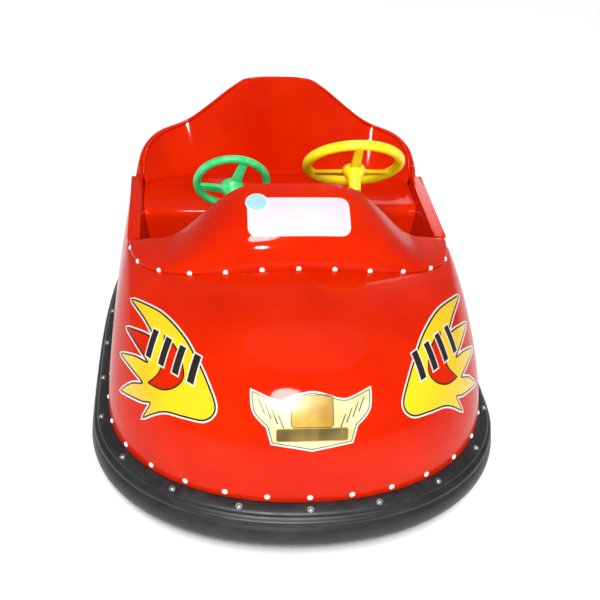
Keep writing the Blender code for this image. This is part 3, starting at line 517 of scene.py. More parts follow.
def merged_copy(node):
    """A free copy of a CAD node, with its loose triangles joined into quads."""
    piece = copy_of(nodes[node])
    piece.parent = None
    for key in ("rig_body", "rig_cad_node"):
        del piece[key]
    only(piece)
    bpy.ops.mesh.customdata_custom_splitnormals_clear()
    edit(piece)
    bpy.ops.mesh.select_all(action="SELECT")
    bpy.ops.mesh.remove_doubles(threshold=0.02 * MM)
    bpy.ops.mesh.tris_convert_to_quads(face_threshold=math.pi, shape_threshold=math.pi)
    leave()
    return piece


def crease_sharp(piece, angle, value):
    """Hold the edges that bend by more than an angle against the smoothing."""
    edit(piece)
    bpy.ops.mesh.select_mode(type="EDGE")
    bpy.ops.mesh.select_all(action="DESELECT")
    bpy.ops.mesh.edges_select_sharp(sharpness=math.radians(angle))
    bpy.ops.transform.edge_crease(value=value)
    leave()


def moulding(node, name, material, slot, angle=50, crease=0.85):
    piece = merged_copy(node)
    crease_sharp(piece, angle, crease)
    modifier(piece, "SUBSURF", levels=SMOOTHING, render_levels=SMOOTHING)
    apply_all(piece)
    return finish(piece, name, material, "chassis", [node], 40, slot)


body_pieces = {}
for node in ("lower_shell", "cowl_shell", "rear_cowl", "seat_back"):
    body_pieces[node] = moulding(node, node + "_moulding", RED_GELCOAT, "gelcoat")
    print(node, len(body_pieces[node].data.polygons), "faces")

# %% [markdown]
# Boards, rails and beams are simpler: a merged copy with its edges eased by a bevel, since
# no real edge is a knife edge and the bevel is what catches the light.

# %% Boards with eased edges


def eased(node, material, slot, width_mm, segments=3, body="chassis"):
    piece = merged_copy(node)
    edit(piece)
    bpy.ops.mesh.select_all(action="SELECT")
    bpy.ops.mesh.dissolve_limited(angle_limit=math.radians(0.5))
    leave()
    ease_edges(piece, width_mm * MM, segments, 40)
    return finish(piece, node + "_finished", material, body, [node], 35, slot)


for node, width_mm in (("side_panel_left", 2.0), ("side_panel_right", 2.0), ("bench_seat", 2.5),
                       ("dash_panel", 2.0), ("front_bulkhead", 1.5)):
    eased(node, RED_GELCOAT, "gelcoat", width_mm)
for node in ("floor_pan", "chassis_rail_left", "chassis_rail_right", "nose_cross_member",
             "front_cross_member", "mid_cross_member", "tail_cross_member", "drive_mount"):
    eased(node, BLACK_PAINT, "black_steel", 1.2, 2)
for node in ("driver_column", "passenger_column"):
    eased(node, BLACK_PAINT, "black_steel", 0.8, 2)
eased("rear_axle", ZINC, "zinc_steel", 0.8, 2)
eased("steering_case", GREY_PAINT, "motor_paint", 0.8, 2)
for node in ("battery_left", "battery_right"):
    eased(node, BATTERY_CASE, "battery_case", 0.8, 2)
eased("accelerator_pedal", PEDAL_RUBBER, "pedal_rubber", 0.8, 2)
eased("drive_fork", BLACK_PAINT, "black_steel", 0.8, 2, "drive_fork")
eased("drive_axle", ZINC, "zinc_steel", 0.8, 2, "drive_fork")
eased("drive_motor", GREY_PAINT, "motor_paint", 0.8, 2, "drive_fork")

# %% [markdown]
# ## Bumper
#
# The rubber ring and the steel hoop behind it are smoothed in the same way. A softer
# crease leaves the ridges of the extrusion rounded, as rubber's are.

# %% Bumper ring and hoop
bumper = moulding("bumper_ring", "bumper_ring_rubber", BUMPER_RUBBER, "bumper_rubber", 60, 0.35)
hoop = moulding("bumper_mount_band", "bumper_hoop", BLACK_PAINT, "black_steel", 50, 0.95)
print("bumper", len(bumper.data.polygons), "faces")

# %% [markdown]
# ## Rivets and bolts
#
# Blind rivets with white domed heads hold the shell to the hoop and the upper mouldings
# to the lower one; plated screws with washers hold the rubber. Each is modelled once. Its
# places come from the mouldings themselves: rays cast inwards find the surface and its
# direction, and steps of equal length along that line give the real, even pitch.

# %% Finding places on the mouldings
FAR = 2.0


def seen_from_outside(piece, direction, height):
    """Where a level ray from outside meets the piece, and which way its surface faces."""
    start = Vector((direction.x * FAR, direction.y * FAR, height))
    hit, point, normal, _ = piece.ray_cast(start, -direction)
    return (point, normal) if hit else None


def belt(piece, height, steps=1440):
    """The outside of a piece at one height, as a closed line of points and normals."""
    found = []
    for step in range(steps):
        angle = 2 * math.pi * step / steps
        met = seen_from_outside(piece, Vector((math.sin(angle), -math.cos(angle), 0)), height)
        if met:
            found.append(met)
    return found


def foot_line(piece, lift, sector=2.0):
    """The outermost line of an upper moulding, a little above its foot, in order of angle."""
    outermost = {}
    for corner in piece.data.vertices:
        place = corner.co
        radius = math.hypot(place.x, place.y)
        key = round(math.degrees(math.atan2(place.x, -place.y)) / sector)
        if radius > outermost.get(key, (0,))[0]:
            outermost[key] = (radius, place.copy())
    turned_round = max(outermost) - min(outermost) > 300 / sector
    keys = sorted(outermost, key=lambda key: key % (360 / sector) if turned_round else key)
    found = []
    for key in keys:
        place = outermost[key][1]
        direction = Vector((place.x, place.y, 0)).normalized()
        met = seen_from_outside(piece, direction, place.z + lift)
        if met:
            found.append(met)
    return found


def evenly(line, pitch, closed, margin=0.0):
    """Points of a line at the pitch that comes nearest to the one asked for."""
    if closed:
        line = line + line[:1]
    length = [0.0]
    for (a, _), (b, _) in zip(line, line[1:]):
        length.append(length[-1] + (b - a).length)
    usable = length[-1] - 2 * margin
    count = max(1, round(usable / pitch))
    targets = [margin + usable * i / count for i in range(count if closed else count + 1)]
    places, index = [], 0
    for target in targets:
        while index < len(line) - 2 and length[index + 1] < target:
            index += 1
        share = (target - length[index]) / max(length[index + 1] - length[index], 1e-9)
        (a, facing), (b, _) = line[index], line[index + 1]
        places.append((a.lerp(b, share), facing))
    return places


def repeated(original, places, name):
    """Copy a small part onto every place, facing outwards, and join the copies."""
    copies = []
    for point, facing in places:
        made = copy_of(original)
        made.matrix_world = Matrix.Translation(point) @ facing.to_track_quat("Z", "Y").to_matrix().to_4x4()
        copies.append(made)
    bpy.data.objects.remove(original)
    whole = joined(copies)
    whole.name = name
    return bake_place(whole)


DOME = ((0.35, 0.94), (0.30, 0.86), (0.20, 0.72), (0.12, 0.50))   # rise and narrowing of each step


def domed_head(radius, height, flange=1.25, washer=0.0):
    """A fixing that faces +Z: a flange or washer, and a round head pulled up from it."""
    part = bake_place(cylinder(20, radius * flange, height * 0.6 + washer, (0, 0, washer / 2)))
    edit(part)
    pick(part, "FACE", lambda centre, normal: normal.z > 0.9)
    bpy.ops.mesh.inset(thickness=radius * (flange - 1.0), depth=0)
    for rise, narrowing in DOME:
        step = (0, 0, height * 0.7 * rise)
        bpy.ops.mesh.extrude_region_move(TRANSFORM_OT_translate={"value": step})
        bpy.ops.transform.resize(value=(narrowing, narrowing, 1))
    leave()
    return part


# %% [markdown]
# The lower rivets stand in the middle of the shell's upright foot strip. The upper ones
# follow the foot of each moulding. Under each screw, a ray straight down finds the rubber.

# %% Fixing the mouldings
FOOT_PITCH = 95 * MM
COWL_PITCH = 88 * MM
SCREW_PITCH = 155 * MM
RIVET_LIFT = 14 * MM      # of the lower rivets above the foot of the shell
SEAM_LIFT = 2 * MM        # of the upper ones above the foot of their moulding
SCREW_OUT = 19 * MM       # from the shell to the screws in the rubber

lower = body_pieces["lower_shell"]
shell_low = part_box("lower_shell")[0].z
rivet_line = evenly(belt(lower, shell_low + RIVET_LIFT), FOOT_PITCH, True)
rivets = repeated(domed_head(5.2 * MM, 4.2 * MM), rivet_line, "shell_rivets")
finish(rivets, "shell_rivets", RIVET_PAINTED_SHEEN, "chassis", slot="zinc_steel")
print("rivets round the foot", len(rivet_line))

for node, name, pitch, margin in (("cowl_shell", "cowl_rivets", COWL_PITCH, 30 * MM),
                                  ("rear_cowl", "rear_cowl_rivets", FOOT_PITCH, 25 * MM)):
    line = evenly(foot_line(body_pieces[node], SEAM_LIFT), pitch, False, margin)
    rivets = repeated(domed_head(5 * MM, 4 * MM), line, name)
    finish(rivets, name, RIVET_PAINTED_SHEEN, "chassis", slot="zinc_steel")
    print(name, len(line))

screw_line = []
for point, facing in evenly(belt(lower, shell_low + 6 * MM), SCREW_PITCH, True):
    outwards = Vector((facing.x, facing.y, 0)).normalized()
    above = point + outwards * SCREW_OUT + Vector((0, 0, 0.1))
    hit, place, normal, _ = bumper.ray_cast(above, Vector((0, 0, -1)))
    if hit:
        screw_line.append((place, normal))
screws = repeated(domed_head(5 * MM, 5 * MM, 1.5, MM), screw_line, "bumper_screws")
finish(screws, "bumper_screws", ZINC, "chassis", slot="zinc_steel")
print("screws in the bumper", len(screw_line))

# %% [markdown]
# ## Rolled edge of the seat back
#
# The two skins of the seat back meet under a rolled edge, a bead of gelcoat laid along
# the joint. It could be a path drawn by hand; here its line is the crest of the moulding,
# found by rays cast straight down along spokes from a point in front of the seat, so it
# follows the shape. A short upright bead closes each corner between seat and side.

# %% Rolled edge
BEAD_RADIUS = 4.6 * MM
CORNER_BEAD_RADIUS = 7 * MM
CREST_REACH = 0.47        # length of the spokes
CREST_ANGLE = 176         # degrees that the spokes spread over
CREST_SPOKES = 73
CREST_STEPS = 90


def from_above(pieces, x, y):
    """The highest point of some pieces over a place on the floor."""
    best = None
    for piece in pieces:
        hit, point, _, _ = piece.ray_cast(Vector((x, y, FAR)), Vector((0, 0, -1)))
        if hit and (best is None or point.z > best.z):
            best = point.copy()
    return best


def crest(pieces, centre):
    """The ridge seen from a centre, as points in order of angle."""
    found = []
    for index in range(CREST_SPOKES):
        angle = math.radians(CREST_ANGLE) * (index / (CREST_SPOKES - 1) - 0.5)
        across, along = math.sin(angle), math.cos(angle)
        tops = []
        for step in range(CREST_STEPS):
            radius = CREST_REACH * (0.4 + 0.6 * step / (CREST_STEPS - 1))
            top = from_above(pieces, centre.x + radius * across, centre.y + radius * along)
            if top:
                tops.append(top)
        if tops:
            found.append(max(tops, key=lambda top: top.z))
    return found


def smoothed(points):
    """The points drawn towards their neighbours, twice; the ends stay."""
    for _ in range(2):
        inner = [(a + 2 * b + c) / 4 for a, b, c in zip(points, points[1:], points[2:])]
        points = [points[0], *inner, points[-1]]
    return points


def bead(name, points, radius, material):
    """A round bead along a line of points, with closed ends."""
    path = bpy.data.curves.new(name, "CURVE")
    path.dimensions = "3D"
    path.bevel_depth = radius
    path.bevel_resolution = 3
    path.use_fill_caps = True
    line = path.splines.new("POLY")
    line.points.add(len(points) - 1)
    for point, place in zip(line.points, points):
        point.co = (*place, 1.0)
    strip = bpy.data.objects.new(name, path)
    bpy.context.scene.collection.objects.link(strip)
    only(strip)
    bpy.ops.object.convert(target="MESH")
    return finish(bpy.context.active_object, name, material, "chassis", angle=60, slot="gelcoat")


seat_skins = [body_pieces["seat_back"], body_pieces["rear_cowl"]]
seat_low, seat_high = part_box("seat_back")
crest_centre = Vector((0.0, seat_low.y - 0.02, 0.0))
crest_line = smoothed(crest(seat_skins, crest_centre))
bead("seat_rolled_edge", crest_line, BEAD_RADIUS, RED_GELCOAT)
corner_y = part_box("side_panel_left")[1].y + 5 * MM
for name, side in (("seat_corner_bead_left", 1), ("seat_corner_bead_right", -1)):
    corner_x = side * (seat_high.x - 3 * MM)
    corner = [Vector((corner_x, corner_y, seat_low.z + step * 8 * MM)) for step in range(8)]
    bead(name, corner, CORNER_BEAD_RADIUS, RED_GELCOAT)
print("rolled edge from", [round(v, 3) for v in crest_line[0]], "to", [round(v, 3) for v in crest_line[-1]])

# %% [markdown]
# ## Decals
#
# A decal is thin printed film that follows the moulding. The part of the shell under it
# is copied, given the film's thickness, and cut by an upright wall in the decal's
# outline, as scissors would. Each colour is its own cut, and outlines are grown by a few
# millimetres for the dark line and the white edge round the figure.

# %% Cutting film from the surface
FILM = 0.4 * MM
FILM_MARGIN = 18 * MM


def rounded(points, steps=6):
    """A closed outline through (u, v, sharp) points; a sharp point stays a tip."""
    found = []
    count = len(points)
    for i in range(count):
        before, here, there, after = (points[(i + k) % count] for k in (-1, 0, 1, 2))
        lead = (0, 0) if here[2] else [(there[k] - before[k]) / 2 for k in (0, 1)]
        tail = (0, 0) if there[2] else [(after[k] - here[k]) / 2 for k in (0, 1)]
        for step in range(steps):
            t = step / steps
            w0, w1 = 2 * t ** 3 - 3 * t ** 2 + 1, t ** 3 - 2 * t ** 2 + t
            w2, w3 = -2 * t ** 3 + 3 * t ** 2, t ** 3 - t ** 2
            found.append(tuple(w0 * here[k] + w1 * lead[k] + w2 * there[k] + w3 * tail[k] for k in (0, 1)))
    return found


def distance_to(outline, point):
    """How far a point is from the nearest side of an outline."""
    nearest = []
    for a, b in zip(outline, outline[1:] + outline[:1]):
        start, along = Vector(a), Vector(b) - Vector(a)
        share = (point - start).dot(along) / max(along.length_squared, 1e-12)
        nearest.append((point - start - along * min(1.0, max(0.0, share))).length)
    return min(nearest)


def grown(outline, distance, limit=1.7):
    """The outline moved outwards. Tips are blunted, and corners that fold back are left out."""
    area = sum(a[0] * b[1] - b[0] * a[1] for a, b in zip(outline, outline[1:] + outline[:1]))
    side = 1 if area > 0 else -1
    found = []
    count = len(outline)
    for i in range(count):
        here = Vector(outline[i])
        along = (here - Vector(outline[i - 1])).normalized()
        onwards = (Vector(outline[(i + 1) % count]) - here).normalized()
        outwards = Vector((along.y + onwards.y, -along.x - onwards.x)) * side
        reach = min(limit, 1 / max(outwards.length / 2, 0.01))
        moved = here + outwards.normalized() * distance * reach
        if distance_to(outline, moved) > 0.93 * distance:
            found.append(tuple(moved))
    return found


def rounded_box(half_width, half_height, radius, steps=6):
    """The outline of a box with round corners, about the middle."""
    found = []
    for quarter, (sx, sy) in enumerate(((1, 1), (-1, 1), (-1, -1), (1, -1))):
        for step in range(steps + 1):
            angle = math.radians(90 * (quarter + step / steps))
            found.append((sx * (half_width - radius) + radius * math.cos(angle),
                          sy * (half_height - radius) + radius * math.sin(angle)))
    return found


def axes_at(centre, facing):
    """A frame on the surface: u level, v upwards, w outwards."""
    w = Vector(facing).normalized()
    u = Vector((0, 0, 1)).cross(w).normalized()
    v = w.cross(u)
    frame_matrix = Matrix((u, v, w)).transposed().to_4x4()
    return Matrix.Translation(centre) @ frame_matrix


def cutter(outlines, place, depth=0.16):
    """Closed walls through the surface in the shape of some outlines."""
    mesh = bpy.data.meshes.new("cutter")
    corners, faces = [], []
    for outline in outlines:
        faces.append(list(range(len(corners), len(corners) + len(outline))))
        corners += [(u, v, -depth) for u, v in outline]
    mesh.from_pydata(corners, [], faces)
    wall = bpy.data.objects.new("cutter", mesh)
    bpy.context.scene.collection.objects.link(wall)
    edit(wall)
    bpy.ops.mesh.select_all(action="SELECT")
    bpy.ops.mesh.extrude_region_move(TRANSFORM_OT_translate={"value": (0, 0, 2 * depth)})
    bpy.ops.mesh.select_all(action="SELECT")
    bpy.ops.mesh.normals_make_consistent(inside=False)
    leave()
    return bake_place(wall, place)


def film_on(pieces, place, corners):
    """The outside of some mouldings under a decal's corners, as thin film."""
    w = place.to_3x3() @ Vector((0, 0, 1))
    to_decal = place.inverted()
    low_u, high_u = min(u for u, v in corners) - FILM_MARGIN, max(u for u, v in corners) + FILM_MARGIN
    low_v, high_v = min(v for u, v in corners) - FILM_MARGIN, max(v for u, v in corners) + FILM_MARGIN

    def elsewhere(at, facing):
        u, v, _ = to_decal @ at
        return facing.dot(w) < 0.25 or not (low_u < u < high_u and low_v < v < high_v)

    film = joined([copy_of(piece) for piece in pieces])
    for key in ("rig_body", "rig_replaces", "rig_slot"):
        if key in film:
            del film[key]
    film.parent = None
    edit(film)
    pick(film, "FACE", elsewhere)
    bpy.ops.mesh.delete(type="FACE")
    leave()
    modifier(film, "SOLIDIFY", thickness=FILM, offset=1.0, use_even_offset=True)
    apply_all(film)
    return film


def cut(film, inside, outside, material):
    """The film inside one wall and outside others, in one colour."""
    part = copy_of(film)
    modifier(part, "BOOLEAN", operation="INTERSECT", solver="EXACT", object=inside)
    for wall in outside:
        modifier(part, "BOOLEAN", operation="DIFFERENCE", solver="EXACT", object=wall)
    apply_all(part)
    part.data.materials.clear()
    part.data.materials.append(material)
    return part


def decal(name, pieces, place, layers):
    """Layers of (outlines, material, hides) from the top one down, each cut round those above.

    hides is how many of the layers just above it lie wholly inside it.
    """
    corners = [corner for outlines, _, _ in layers for outline in outlines for corner in outline]
    film = film_on(pieces, place, corners)
    above, parts, walls = [], [], []
    for outlines, material, hides in layers:
        wall = cutter(outlines, place)
        walls.append(wall)
        if material is not None:
            parts.append(cut(film, wall, above, material))
        above = above[:len(above) - hides] + [wall]
    whole = joined(parts)
    for leftover in (film, *walls):
        bpy.data.objects.remove(leftover)
    print(name, len(whole.data.polygons), "faces")
    return finish(whole, name, None, "chassis", angle=40, slot="gelcoat")


# %% [markdown]
# The side figures are plain flame licks that stream back from the nose. A window in them
# lets the red body show, and four slanted bars run across. Both sides use one drawing,
# with u turned round for the other side.

# %% Flames on both sides of the nose
FLAME = [(-0.156, -0.040, 0), (-0.118, -0.004, 0), (-0.060, 0.032, 0), (0.010, 0.062, 0), (0.105, 0.080, 0),
         (0.214, 0.072, 1), (0.130, 0.052, 0), (0.066, 0.024, 0), (0.110, 0.020, 0), (0.176, 0.010, 1),
         (0.104, -0.010, 0), (0.050, -0.030, 0), (0.100, -0.036, 0), (0.160, -0.050, 1), (0.092, -0.062, 0),
         (0.040, -0.076, 0), (0.078, -0.094, 0), (0.112, -0.122, 1), (0.030, -0.112, 0), (-0.004, -0.104, 0),
         (0.006, -0.142, 1), (-0.044, -0.104, 0), (-0.100, -0.088, 0), (-0.146, -0.072, 0)]
WINDOW = [(-0.052, -0.010, 0), (-0.006, 0.026, 0), (0.046, 0.040, 1), (0.016, 0.006, 0), (0.006, -0.036, 0),
          (0.022, -0.066, 1), (-0.020, -0.062, 0), (-0.050, -0.040, 0)]
FLAME_AT = Vector((0.311, -0.522, 0.441))
FLAME_FACING = Vector((0.56, -0.52, 0.645))
FLAME_LINE = 4.0 * MM     # dark line round the figure
FLAME_EDGE = 7.5 * MM     # out to the edge of the white border
BAR_EDGE = 3.0 * MM
BAR_LIFT = 12 * MM


def slanted_bars(count, pitch, half_width, half_height, slant):
    """Upright bars that lean, side by side about the middle."""
    found = []
    for index in range(count):
        middle = (index - (count - 1) / 2) * pitch
        foot = [(middle - half_width - slant, -half_height), (middle + half_width - slant, -half_height)]
        top = [(middle + half_width + slant, half_height), (middle - half_width + slant, half_height)]
        found.append(foot + top)
    return found


for side, name in ((-1, "flame_decal_right"), (1, "flame_decal_left")):
    mirror = Matrix.Diagonal((side, 1, 1))
    place = axes_at(mirror @ FLAME_AT, mirror @ FLAME_FACING)
    figure = rounded([(side * u, v, sharp) for u, v, sharp in FLAME])
    window = rounded([(side * u, v, sharp) for u, v, sharp in WINDOW])
    bars = [[(side * u, v + BAR_LIFT) for u, v in bar]
            for bar in slanted_bars(4, 46 * MM, 9.5 * MM, 31 * MM, 10 * MM)]
    decal(name, [lower], place,
          [(bars, VINYL_BLACK, 0), ([grown(bar, BAR_EDGE) for bar in bars], VINYL_WHITE, 1),
           ([window], None, 0), ([grown(window, FLAME_LINE)], VINYL_BLACK, 1),
           ([figure], VINYL_YELLOW, 1), ([grown(figure, FLAME_LINE)], VINYL_BLACK, 1),
           ([grown(figure, FLAME_EDGE)], VINYL_WHITE, 1)])

# %% [markdown]
# The badge on the nose is a blank gold plaque on a pale striped banner, with a dark strip
# under it. The plate on the cowl is blank pink with a white border and a pale blue disc.

# %% Badge and plate
BANNER = [(-0.128, 0.052, 1), (-0.080, 0.030, 0), (-0.050, 0.033, 1), (0.0, 0.046, 0), (0.050, 0.033, 1),
          (0.080, 0.030, 0), (0.128, 0.052, 1), (0.124, 0.010, 0), (0.096, -0.022, 1), (0.086, -0.058, 1),
          (0.0, -0.074, 1), (-0.086, -0.058, 1), (-0.096, -0.022, 1), (-0.124, 0.010, 0)]
BADGE_AT = Vector((0.0, -0.683, 0.404))
BADGE_FACING = Vector((0.0, -0.80, 0.60))
PLATE_AT = Vector((0.001, -0.240, 0.654))
PLATE_FACING = Vector((0.0, -0.54, 0.84))
STRIPE = [(0, 0), (3, -1), (16, 34), (12, 30)]      # in mm

badge_place = axes_at(BADGE_AT, BADGE_FACING)
banner = rounded(BANNER)
plaque = [(u, v + 8 * MM) for u, v in rounded_box(45 * MM, 34 * MM, 6 * MM)]
strip = [(u, v - 43 * MM) for u, v in rounded_box(78 * MM, 13 * MM, 4 * MM)]
stripes = []
for side in (-1, 1):
    for step in range(4):
        start_u, start_v = 60 + 14 * step, -30 + 12 * step
        stripes.append([(side * (start_u + u) * MM, (start_v + v) * MM) for u, v in STRIPE])
decal("nose_badge", [lower], badge_place,
      [([plaque], VINYL_GOLD, 0), ([grown(plaque, 0.0022)], VINYL_BRONZE, 1), ([strip], VINYL_BRONZE, 0),
       ([grown(strip, 0.002)], VINYL_GOLD, 1), (stripes, VINYL_BRONZE, 0), ([banner], VINYL_CREAM, 3),
       ([grown(banner, 0.0024)], VINYL_BRONZE, 1), ([grown(banner, 0.0060)], VINYL_WHITE, 1)])

plate_place = axes_at(PLATE_AT, PLATE_FACING)
plate = rounded_box(121 * MM, 50 * MM, 20 * MM)
disc = []
for index in range(32):
    angle = 2 * math.pi * index / 32
    disc.append((24 * MM * math.cos(angle) - 100 * MM, 24 * MM * math.sin(angle) + 40 * MM))
decal("cowl_plate", [body_pieces["cowl_shell"]], plate_place,
      [([disc], VINYL_BLUE, 0), ([grown(disc, 0.003)], VINYL_WHITE, 1), ([plate], VINYL_PINK, 0),
       ([grown(plate, 0.0022)], VINYL_WHITE, 1)])

# %% [markdown]
# ## Steering wheels
#
# Each wheel is one plastic moulding on a steel boss: a thick round rim, three flat arms
# with raised edges, and a cone that runs down to the column. The rim is a torus with a
# finger groove, one arm is copied round, and the hub is pulled up in steps, as it would be
# turned: each step is a radius and a height along the column.

# %% Steering wheels
DISH = 20 * MM            # the rim stands this far above the hub
ARM_START = 18 * MM
ARM_WIDTH = 27 * MM
ARM_DEPTH = 9 * MM
HUB_STEPS = ((0.0145, -0.0550), (0.0175, -0.0220), (0.0300, -0.0040),
             (0.0300, 0.0040), (0.0260, 0.0115))


def grip_ring(radius, tube):
    """The rim, with a shallow finger groove along the inside of its top."""
    bpy.ops.object.select_all(action="DESELECT")
    bpy.ops.mesh.primitive_torus_add(major_radius=radius, minor_radius=tube, major_segments=96,
                                     minor_segments=20, location=(0, 0, DISH))
    ring = bake_place(bpy.context.active_object)
    edit(ring)
    pick(ring, "FACE", lambda at, facing: 0.6 < facing.z < 0.8 and facing.x * at.x + facing.y * at.y < 0)
    bpy.ops.mesh.inset(thickness=tube * 0.07, depth=-tube * 0.08)
    leave()
    return ring


def flat_arm(reach):
    """A bar from the hub up to the rim, narrower outwards, with raised edges on top."""
    length = reach - ARM_START
    bpy.ops.object.select_all(action="DESELECT")
    bpy.ops.mesh.primitive_cube_add(size=1)
    arm = bpy.context.active_object
    arm.scale = (math.hypot(length, DISH), ARM_WIDTH, ARM_DEPTH)
    bake_place(arm)
    edit(arm)
    pick(arm, "FACE", lambda at, facing: facing.x > 0.9)
    bpy.ops.transform.resize(value=(1, 0.66, 1))
    pick(arm, "FACE", lambda at, facing: facing.z > 0.9)
    bpy.ops.mesh.inset(thickness=3.6 * MM, depth=-1.8 * MM)
    leave()
    ease_edges(arm, 1.3 * MM, 3)
    middle = Matrix.Translation((ARM_START + length / 2, 0, DISH / 2))
    return bake_place(arm, middle @ Matrix.Rotation(-math.atan2(DISH, length), 4, "Y"))


def cone_hub():
    """The boss: a cone up to a broad disc, with a domed cap on top."""
    radius, height = HUB_STEPS[0]
    hub = bake_place(cylinder(40, radius, MM, (0, 0, height)))
    edit(hub)
    pick(hub, "FACE", lambda at, facing: facing.z > 0.9)
    for (radius, height), (wider, higher) in zip(HUB_STEPS, HUB_STEPS[1:]):
        bpy.ops.mesh.extrude_region_move(TRANSFORM_OT_translate={"value": (0, 0, higher - height)})
        bpy.ops.transform.resize(value=(wider / radius, wider / radius, 1))
    bpy.ops.mesh.inset(thickness=7 * MM, depth=0)
    bpy.ops.mesh.inset(thickness=1 * MM, depth=-1.2 * MM)
    bpy.ops.mesh.inset(thickness=4 * MM, depth=2.4 * MM)
    leave()
    return ease_edges(hub, 1.2 * MM, 2)


def steering_wheel(name, node, joint, tube, first_arm, material, slot):
    """Rim, arms and hub as one moulding on a joint's axis, in place of the CAD wheel."""
    low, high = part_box(node)
    ring_radius = (high.x - low.x) / 2 - tube
    arm = flat_arm(ring_radius)
    arms = [bake_place(copy_of(arm), Matrix.Rotation(math.radians(first_arm + 120 * k), 4, "Z"))
            for k in range(3)]
    bpy.data.objects.remove(arm)
    whole = joined([grip_ring(ring_radius, tube), cone_hub(), *arms])
    axis = Vector(joint["axis"])
    tilt = Matrix.Rotation(-math.atan2(axis.y, axis.z), 4, "X")
    bake_place(whole, Matrix.Translation(joint["pos_m"]) @ tilt)
    print(name, "diameter", round(1000 * (high.x - low.x)), "mm,", len(whole.data.polygons), "faces")
    return finish(whole, name, material, joint["child"], [node], 35, slot)


steering_wheel("driver_steering_wheel", "driver_wheel", joints["driver_steer"], 12.5 * MM, -90,
               YELLOW_PLASTIC, "yellow_plastic")
steering_wheel("passenger_steering_wheel", "passenger_wheel", joints["passenger_steer"], 10 * MM, -70,
               GREEN_PLASTIC, "green_plastic")
for node, body in (("driver_shaft", "driver_steering"), ("passenger_shaft", "passenger_steering")):
    eased(node, ZINC, "zinc_steel", 0.5, 2, body)

# %% [markdown]
# The columns are bolted to the board behind the cowl. A ray from behind finds the flange
# under each bolt.

# %% Column bolts
BOLT_ASIDE = 23 * MM
BOLT_UP = 28 * MM
FLANGE_DROP = 2 * MM      # the flange's middle below the shaft


def column_bolts(name, node, joint):
    """Four bolts in a column's flange, on the cockpit side of the board."""
    column = bpy.data.objects[node + "_finished"]
    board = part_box("dash_panel")[1].y
    axis, hub = Vector(joint["axis"]), Vector(joint["pos_m"])
    centre = hub - axis * ((hub.y - board) / axis.y)
    places = []
    for across in (-1, 1):
        for up in (-1, 1):
            start_z = centre.z - FLANGE_DROP + up * BOLT_UP
            start = Vector((centre.x + across * BOLT_ASIDE, 0.3, start_z))
            hit, point, normal, _ = column.ray_cast(start, Vector((0, -1, 0)))
            if hit:
                places.append((point, normal))
    bolts = repeated(domed_head(4.5 * MM, 4 * MM, 1.4, MM), places, name)
    finish(bolts, name, ZINC, "chassis", slot="zinc_steel")
    print(name, len(places))


column_bolts("driver_column_bolts", "driver_column", joints["driver_steer"])
column_bolts("passenger_column_bolts", "passenger_column", joints["passenger_steer"])

# %% [markdown]
# ## Road wheels
#
# Solid rubber tyres on cast rims. The tyre starts as a short cylinder: its ends are inset
# and bridged into a bore, its shoulders are rounded, and the tread has grooves pressed in.
# The rim is dished on both sides, with a hub and five lightening holes.

# %% Road wheels
TREAD_STEPS = 72
GROOVE_EDGES = (0.09, 0.17)          # of the width, from the middle of the tread
GROOVE_DEPTH = 3 * MM
SHOULDER_SHARE = 0.16                # of the width
LIP_SHARE = 0.84                     # width of the rim's lips
LIP_WIDTH = 5 * MM
WEB = 12 * MM                        # thickness of the dished disc
HUB_WALL = 17 * MM
LIGHTENING_HOLES = 5


def solid_tyre(radius, bore, width):
    """A ring with rounded shoulders and two grooves, about the Z axis."""
    tyre = cylinder(TREAD_STEPS, radius, width)
    edit(tyre)
    pick(tyre, "FACE", lambda at, facing: abs(facing.z) > 0.9)
    bpy.ops.mesh.inset(thickness=radius - bore, depth=0)
    bpy.ops.mesh.delete(type="FACE")
    pick(tyre, "EDGE", lambda a, b: a.z * b.z > 0 and a.xy.length < bore + MM and b.xy.length < bore + MM)
    bpy.ops.mesh.bridge_edge_loops()
    pick(tyre, "EDGE", lambda a, b: a.z * b.z > 0 and a.xy.length > bore + MM and b.xy.length > bore + MM)
    bpy.ops.mesh.bevel(offset=width * SHOULDER_SHARE, segments=4, affect="EDGES")
    inner, outer = GROOVE_EDGES
    for height in (-outer, -inner, inner, outer):
        bpy.ops.mesh.select_all(action="SELECT")
        bpy.ops.mesh.bisect(plane_co=(0, 0, height * width), plane_no=(0, 0, 1))
    pick(tyre, "FACE", lambda at, facing: at.xy.length > bore + 10 * MM and abs(facing.z) < 0.1
         and inner * width < abs(at.z) < outer * width)
    bpy.ops.mesh.inset(thickness=0.4 * MM, depth=-GROOVE_DEPTH)
    bpy.ops.mesh.select_all(action="SELECT")
    bpy.ops.mesh.normals_make_consistent(inside=False)
    leave()
    return tyre


